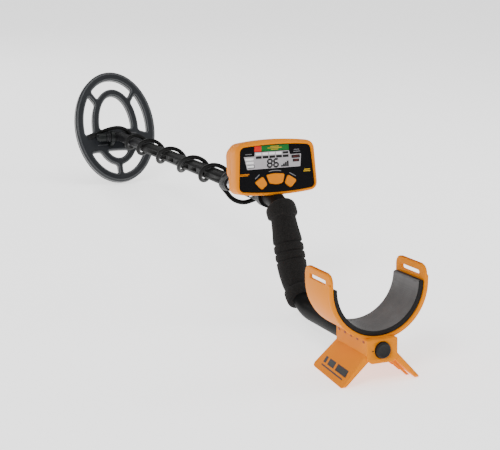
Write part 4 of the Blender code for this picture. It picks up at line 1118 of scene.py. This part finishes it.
def build_print():
    """The printed scale above the display and the small marks round the keys."""
    flat("scale_iron", quad(-32.6, 24.2, -21.8, 31.9, 0.6), PRINT_TOP, "red")
    flat("scale_coin", quad(-21.4, 24.2, 20.8, 32.3), PRINT_TOP, "green")
    gold = []
    for number, (x, y, half) in enumerate(((-1, 26.3, 5.5), (-1, 28.4, 11.0), (-1, 30.4, 6.5))):
        gold.append(flat(f"scale_gold_{number}", quad(x - half, y - 0.45, x + half, y + 0.45),
                         -0.36, "gold"))
    merged("scale_rules", gold)
    labels = []
    for number, (x1, y1, x2, y2) in enumerate(((-33.6, -14.2, -26.2, -8.0),
                                               (19.4, -8.2, 29.8, -14.0))):
        labels.append(flat(f"key_label_{number}",
                           bar_outline((x1, y1), (x2, y2), 1.3, 0), PRINT_TOP, "label"))
    curve = [(-12 + 2.1 * k, -3.9 - 0.05 * (k - 4.5) ** 2 + 0.6) for k in range(10)]
    back = [(x, y - 1.2) for x, y in reversed(curve)]
    labels.append(flat("key_label_2", curve + back, PRINT_TOP, "label"))
    for number, (x1, y1, x2, y2) in enumerate(((28.6, 23.6, 37.0, 24.6), (27.8, 20.8, 38.2, 21.8),
                                               (-46.5, 20.6, -36.5, 21.5))):
        labels.append(flat(f"corner_label_{number}", quad(x1, y1, x2, y2), PRINT_TOP, "label"))
    merged("key_labels", labels)
    left = [flat(f"trim_bar_{k}", quad(-59 + 0.4 * k + 0.6, -9.0 + 1.7 * k, -44 + 2.0 * k,
                                       -8.0 + 1.7 * k), PRINT_TOP, "key") for k in range(2)]
    right = [flat(f"trim_dash_{k}", quad(42.0 + 1.2 * k, -8.3 + 2.4 * k, 53.0 - 0.4 * k,
                                         -7.0 + 2.4 * k), PRINT_TOP, "gold") for k in range(2)]
    merged("panel_trim_left", left)
    merged("panel_trim_right", right)


def build_display():
    """Bars, numerals and frames shown on the grey display."""
    digit("display_digit_1", "8", (-13.2, 1.4), (6.4, 10.8))
    digit("display_digit_2", "6", (-3.6, 1.4), (6.4, 10.8))
    cursors, notches, modes = [], [], []
    for number in range(5):
        x = -30.6 + 10.4 * number
        cursors.append(flat(f"cursor_{number}", quad(x, 14.1, x + 9.0, 17.7), DISPLAY_TOP, "ink"))
        notches.append(flat(f"notch_{number}", polygon(quad(x, 19.2, x + 8.8, 22.3), 0.7), DISPLAY_TOP,
                            "pale" if number < 4 else "ink"))
    merged("display_cursors", cursors + notches[4:])
    merged("display_notches", notches[:4])
    for number, (y, lean) in enumerate(((12.6, 0.0), (7.6, 1.2), (2.4, 2.4))):
        outline = polygon(quad(-46.6 + lean, y, -34.2, y + 2.9), 0.7)
        modes.append(flat(f"mode_{number}", outline, DISPLAY_TOP, "pale"))
    merged("display_modes", modes)
    flat("mode_frame", polygon(quad(-43.6, 1.4, -33.2, 6.0), 0.8), -0.66, "ink")
    steps = [flat(f"signal_{k}", quad(7.6 + 3.1 * k, 0.7, 10.3 + 3.1 * k, 3.2 + 1.9 * k), DISPLAY_TOP,
                  "ink") for k in range(4)]
    merged("display_signal", steps)
    depth = [flat("depth_1", polygon(quad(24.4, 12.0, 37.8, 16.6), 0.9), DISPLAY_TOP, "ink"),
             flat("depth_2", polygon(quad(26.0, 6.7, 36.4, 10.8), 0.9), DISPLAY_TOP, "ink")]
    merged("display_depth", depth)
    lines = [flat("depth_line_1", quad(27.0, 13.9, 35.6, 14.7), -0.56, "rust"),
             flat("depth_line_2", quad(28.2, 8.4, 34.6, 9.2), -0.56, "rust")]
    merged("display_depth_lines", lines)


def build_connector():
    x, y = -39.0, -23.0
    socket = spin("coil_socket_body",
                  [(0, 14), (6.6, 14), (6.6, -0.2), (9.2, -0.3), (9.6, -0.7), (9.6, -3.1),
                   (9.2, -3.5), (7.6, -3.5)]
                  + [(7.6 - (0.5 if k % 2 else 0.0), -4.2 - 1.1 * k) for k in range(24)]
                  + [(7.4, -35.6), (7.0, -36), (0, -36)],
                  FACE, (x, y, -50), (0, 0, 1), "steel", "frame", 40, 30)
    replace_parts(socket, "coil_socket")
    steps = 48
    profile = [(8.0, -32), (9.7, -32), (10.3, -32.6), (10.3, -36), (9.8, -36.6), (9.8, -37.4),
               (10.4, -38), (10.4, -54), (9.8, -55), (8.0, -55)]
    rings = []
    for radius, height in profile:
        ring = []
        for k in range(steps * 2):
            a = math.pi * k / steps
            r = radius - (0.45 if k % 4 < 2 and radius > 10.35 else 0.0)
            ring.append((x + r * math.cos(a), y + r * math.sin(a), -50 + height))
        rings.append(ring)
    nut = loft("coil_plug_nut", rings, FACE, "plastic", "plug_ring", closed=True, angle=30)
    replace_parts(nut, "plug_ring")
    relief = [(0, -36.3), (7.6, -36.3), (7.6, -55.4), (7.0, -56.4)]
    relief += [(6.6 - 0.28 * k - (0.55 if k % 2 else 0), -56.6 - 0.42 * k) for k in range(8)]
    relief += [(3.6, -60), (0, -60)]
    plug = spin("coil_plug_body", relief, FACE, (x, y, -50), (0, 0, 1), "rubber", "frame", 36, 30)
    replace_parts(plug, "coil_plug")


# ------------------------------------------------------------------ cable

LEAD_ROUTE = ((-45.7, 9.9, -13.2), (-39.5, 12.0, -8.8), (-31.0, 14.6, -3.8), (-21.5, 16.6, 0.8),
              (-12.0, 17.7, 4.0), (-3.0, 17.0, 7.5), (4.5, 14.0, 11.2), (10.5, 9.0, 14.8),
              (14.5, 2.6, 18.0), (16.4, -3.2, 22.6))
WRAP_ROUTE = ((0.25, 213.0), (0.29, 233.0), (0.5, 259.0), (1.0, 306.0), (1.5, 355.5),
              (2.0, 419.0), (2.5, 475.0), (3.0, 532.0), (3.5, 596.0), (4.0, 645.0), (4.5, 684.0),
              (5.0, 722.0), (5.21, 748.0), (5.25, 760.0))
LOOP_ROUTE = ((16.7, 508.0, 138.7), (17.6, 492.0, 139.0), (18.4, 475.0, 138.5),
              (18.6, 455.0, 136.5), (17.0, 435.0, 133.2), (10.5, 422.0, 130.2), (1.1, 417.0, 128.3),
              (-11.6, 417.0, 126.3), (-21.0, 423.0, 127.8), (-26.5, 432.0, 131.6),
              (-28.5, 443.0, 136.5), (-31.5, 450.0, 141.5), (-35.5, 449.5, 146.8),
              (-38.3, 443.0, 151.2), (-39.0, 435.5, 153.2), (-39.0, 429.5, 154.2))


def wrap_line(turn_steps=40):
    """The cable's turns round the stem, from the coil's end to the box's end."""
    knots = smooth_line([(turns, along, 0) for turns, along in WRAP_ROUTE], 24)
    count = round((WRAP_ROUTE[-1][0] - WRAP_ROUTE[0][0]) * turn_steps)
    tilt = math.radians(SHAFT_TILT)
    points = []
    for i in range(count, -1, -1):
        turns = WRAP_ROUTE[0][0] + i / turn_steps
        k = next(n for n, knot in enumerate(knots) if knot.x >= turns - 0.0001)
        after, before = knots[k], knots[max(k - 1, 0)]
        share = 0 if k == 0 else (turns - before.x) / (after.x - before.x)
        along = before.y + (after.y - before.y) * share
        slim = min(max((along - MIDDLE_END - 3) / 40, 0), 1)
        radius = WRAP_RADIUS - 1.4 * slim
        y, z = shaft_point(along)
        rise = -radius * math.cos(2 * math.pi * turns)
        points.append(Vector((radius * math.sin(2 * math.pi * turns), y + rise * math.sin(tilt),
                              z + rise * math.cos(tilt))))
    return points


def from_pivot(point):
    across, along, up = point
    tilt = math.radians(COIL_TILT)
    return Vector((across, PIVOT[0] + along * math.cos(tilt) - up * math.sin(tilt),
                   PIVOT[1] + along * math.sin(tilt) + up * math.cos(tilt)))


def build_cable():
    wrap = wrap_line()
    lead = smooth_line([from_pivot(p) for p in LEAD_ROUTE] + [wrap[0]], 8)
    loop = smooth_line([wrap[-1]] + [Vector(p) for p in LOOP_ROUTE], 8)
    loop_piece = tube("cable_loop", loop, CABLE_RADIUS, BODY, "cable", "frame", 20)
    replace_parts(loop_piece, "cable_box_loop")
    distances(loop)[-1] * MM
    wrap_piece = tube("cable_wrap", wrap, CABLE_RADIUS, BODY, "cable", None, 20)
    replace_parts(wrap_piece, "cable_stem_wrap")
    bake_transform(wrap_piece)
    lead_piece = tube("cable_lead", lead, CABLE_RADIUS, BODY, "cable", None, 20)
    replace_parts(lead_piece, "cable_coil_lead")
    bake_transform(lead_piece)


# ------------------------------------------------------------------ search coil

OUTER = (82.5, 114.5)        # half width and half length
RING_INNER = (65.5, 97.5)
RING_MIDDLE = (47.5, 78.5)
EYE = (33.5, 64.5)
SPOKE_ANGLE = 33.0
SPOKE_HALF = 4.9


def bridge_front(x):
    return -2.5 - 11.0 * (x / 60.0) ** 2


def bridge_rear(x):
    return -48.5 - 5.0 * (x / 60.0) ** 2


def on_ellipse(half, direction):
    """The point of an ellipse in a direction, in degrees from straight ahead to the right."""
    a = math.radians(direction)
    reach = 1 / math.hypot(math.sin(a) / half[0], math.cos(a) / half[1])
    return (reach * math.sin(a), reach * math.cos(a))


def ellipse_arc(half, start, end):
    count = max(int(abs(end - start) / 3.0), 3)
    return [on_ellipse(half, start + (end - start) * i / count) for i in range(count + 1)]


def half_angle(half, direction):
    """How far the spoke's edge is turned from its middle, on an ellipse."""
    return math.degrees(math.asin(SPOKE_HALF / math.hypot(*on_ellipse(half, direction))))


def meeting(half, edge, start, end):
    """The direction in which an ellipse meets the bridge's edge."""
    first = on_ellipse(half, start)
    side = first[1] > edge(first[0])
    for k in range(1, 721):
        direction = start + (end - start) * k / 720
        x, y = on_ellipse(half, direction)
        if (y > edge(x)) != side:
            return direction
    return end


def edge_line(edge, x1, x2):
    return [(x1 + (x2 - x1) * k / 8, edge(x1 + (x2 - x1) * k / 8)) for k in range(9)]


def ring_gap(spoke, turn, edge, end):
    """The right-hand gap between two rings, from a spoke's side round to the bridge's edge."""
    a = spoke + turn * half_angle(RING_INNER, spoke)
    b = spoke + turn * half_angle(RING_MIDDLE, spoke)
    outer = ellipse_arc(RING_INNER, a, meeting(RING_INNER, edge, a, end))
    inner = ellipse_arc(RING_MIDDLE, meeting(RING_MIDDLE, edge, b, end), b)
    base = edge_line(edge, outer[-1][0], inner[0][0])
    return softened([outer, base, inner, [inner[-1], outer[0]]], 5.0)


def coil_holes():
    """The openings between the rings, the bridge and the spokes."""
    holes = []
    a = SPOKE_ANGLE - half_angle(RING_INNER, SPOKE_ANGLE)
    b = SPOKE_ANGLE - half_angle(RING_MIDDLE, SPOKE_ANGLE)
    outer, inner = ellipse_arc(RING_INNER, -a, a), ellipse_arc(RING_MIDDLE, b, -b)
    holes.append(softened([outer, [outer[-1], inner[0]], inner, [inner[-1], outer[0]]], 4.5))
    for side in (1, -1):
        for gap in (ring_gap(SPOKE_ANGLE, 1, bridge_front, 170), ring_gap(180, -1, bridge_rear, 60)):
            holes.append([(side * x, y) for x, y in gap])
    front = meeting(EYE, bridge_front, 0, 170)
    arch = ellipse_arc(EYE, -front, front)
    holes.append(softened([arch, edge_line(bridge_front, arch[-1][0], arch[0][0])], 7.0))
    rear = meeting(EYE, bridge_rear, 180, 60)
    arch = ellipse_arc(EYE, rear, 360 - rear)
    holes.append(softened([arch, edge_line(bridge_rear, arch[-1][0], arch[0][0])], 3.5))
    return holes


def build_coil():
    rim = ellipse_arc(OUTER, 0, 360)[:-1]
    holes = coil_holes()
    shell = plate("coil_moulding", [rim] + holes, -4.9, 7.5, 3.4, COIL, "coil", "search_coil", 5)
    ribs = coil_ribs()
    # The ring and rim beads are coloured lighter than the coil: a painted highlight along the edges.
    for number, hole in enumerate(holes):
        ribs.append(plate(f"ring_bead_{number}", [shifted(hole, 3.3), shifted(hole, 1.0)], 7.0,
                          8.3, 0.7, COIL, "bead_highlight", "search_coil", 3))
    ribs.append(plate("rim_bead", [shifted(rim, -3.0), shifted(rim, -5.4)], 7.0, 8.2, 0.7, COIL,
                      "bead_highlight", "search_coil", 3))
    ears = []
    outline = ear_outline()
    for side in (-1, 1):
        low, high = sorted((side * 12.3, side * 20.3))
        ear = plate(f"hinge_ear_{side}", [outline], low, high, 1.2, on_side(HINGE), "knob",
                    "search_coil", 3)
        bore = spin(f"ear_bore_{side}", [(3.3, -30), (3.3, 30)], HINGE, (0, 0, 0), (1, 0, 0),
                    "knob", None, 24)
        ears.append(carve(ear, bore))
    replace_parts(merged("coil_body", [carve(shell)] + ribs + ears), "coil_shell")
    base = plate("coil_underside", [rim] + [shifted(hole, 0.4) for hole in holes], -7.5, -5.2, 0.9,
                 COIL, "coil", "search_coil", 2)
    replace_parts(base, "coil_base")
    build_hinge()


def ear_outline():
    """The ear seen from the side: round about the pivot and spreading down to the plate."""
    edges = [arc((0, 0), 12.4, -8, 188, 24)]
    edges.append([edges[0][-1], (-17.0, -20.6)])
    edges.append([(-17.0, -20.6), (-17.0, -23.0)])
    edges.append([(-17.0, -23.0), (17.0, -23.0)])
    edges.append([(17.0, -23.0), (17.0, -20.6)])
    edges.append([(17.0, -20.6), edges[0][0]])
    return softened(edges, 0.8, 3)


def coil_ribs():
    """Raised ribs that run from the rings down to the hinge ears along the bridge."""
    ribs = []
    for side in (-1, 1):
        for number, (x1, x2, y) in enumerate(((22.5, 46.0, -15.0), (22.5, 46.0, -37.0))):
            outline = polygon([(side * x1, -1.0), (side * x1, 6.5), (side * (x1 + 6), 5.0),
                               (side * x2, -1.0)], 1.0)
            ribs.append(plate(f"bridge_rib_{side}_{number}", [outline], y - 1.4, y + 1.4, 0.8,
                              on_end(COIL @ Matrix.Translation((0, 0, 7.0))), "coil",
                              "search_coil", 2))
    return ribs


def build_hinge():
    head = []
    for radius, height in ((5.6, 20.7), (6.2, 21.2), (6.2, 24.2), (5.4, 25.0)):
        head.append([(height, radius * math.cos(math.pi * k / 3), radius * math.sin(math.pi * k / 3))
                     for k in range(6)])
    bolt_head = loft("bolt_head", head, HINGE, "plastic", "search_coil", angle=25)
    shank = spin("bolt_shank", [(0, -36), (3.0, -36), (3.0, 21), (0, 21)], HINGE, (0, 0, 0),
                 (1, 0, 0), "plastic", "search_coil", 24)
    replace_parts(merged("hinge_bolt_body", [shank, bolt_head]), "hinge_bolt")
    for label, near, far in (("left", -12.0, -10.3), ("right", 10.3, 12.0)):
        washer = spin(f"washer_{label}", [(3.3, near), (8.2, near), (8.6, near + 0.4),
                                          (8.6, far - 0.4), (8.2, far), (3.3, far)],
                      HINGE, (0, 0, 0), (1, 0, 0), "rubber", "lower_arm", 40)
        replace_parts(washer, f"hinge_washer_{label}")
    spacer = spin("knob_washer", [(3.3, 20.7), (9.2, 20.7), (9.5, 21.1), (9.5, 24.5), (8.4, 25.2),
                                  (8.4, 29.2), (7.6, 29.7), (3.3, 29.7)],
                  HINGE, (0, 0, 0), (-1, 0, 0), "plastic", "search_coil", 40)
    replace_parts(spacer, "knob_spacer")
    rings = []
    profile = [(3.3, 38), (3.3, 30.0), (7.6, 30.0), (8.3, 30.7), (8.5, 31.8), (8.5, 42.2),
               (8.2, 44.6), (7.3, 46.6), (5.8, 48.0), (3.6, 48.8), (0.01, 49.0)]
    steps = 60
    for radius, height in profile:
        ring = []
        for k in range(steps):
            a = 2 * math.pi * k / steps
            flute = 0.5 * max(math.cos(a * 10), 0) if 31 < height < 44 else 0.0
            ring.append((-height, (radius - flute) * math.cos(a), (radius - flute) * math.sin(a)))
        rings.append(ring)
    knob = loft("hinge_knob", rings, HINGE, "knob", "coil_knob", angle=45)
    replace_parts(knob, "coil_knob")

    start, end = Vector((-58.0, 6.5, -23.0)), Vector((-46.0, 9.8, -13.5))
    points, radii = [], []
    for k in range(25):
        t = k / 24
        points.append(start + (end - start) * t)
        radii.append(6.5 - 2.2 * t - (0.7 if t > 0.25 and k % 3 == 0 else 0.0))
    gland = tube("gland_sleeve", points, radii, HINGE, "rubber", "search_coil", 28, 30)
    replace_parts(gland, "cable_gland")


# ------------------------------------------------------------------ small parts

def finish_nodes():
    """Give the remaining CAD pieces their finishes."""
    plan = {
        "steel": ["cuff_screw", "lcd_module", "headphone_socket", "clamp_screw_1", "clamp_screw_2"]
                 + [f"housing_screw_{number}" for number in range(1, 5)],
        "rubber": ("housing_gasket", "keypad_mat"),
        "plastic": ("speaker", "battery_tray", "box_clamp"),
        "board": ("circuit_board",),
        "cell": [f"battery_{number}" for number in range(1, 5)],
        "copper": ("transmit_winding", "receive_winding"),
    }
    for look, names in plan.items():
        for name in names:
            mesh = frame["nodes"][name].data
            mesh.materials.clear()
            mesh.materials.append(LOOK[look])


add_camera()
add_studio()
build_cable()
build_stem()
build_grip()
build_cuff()
build_front()
build_back()
build_panel()
build_connector()
build_coil()
finish_nodes()
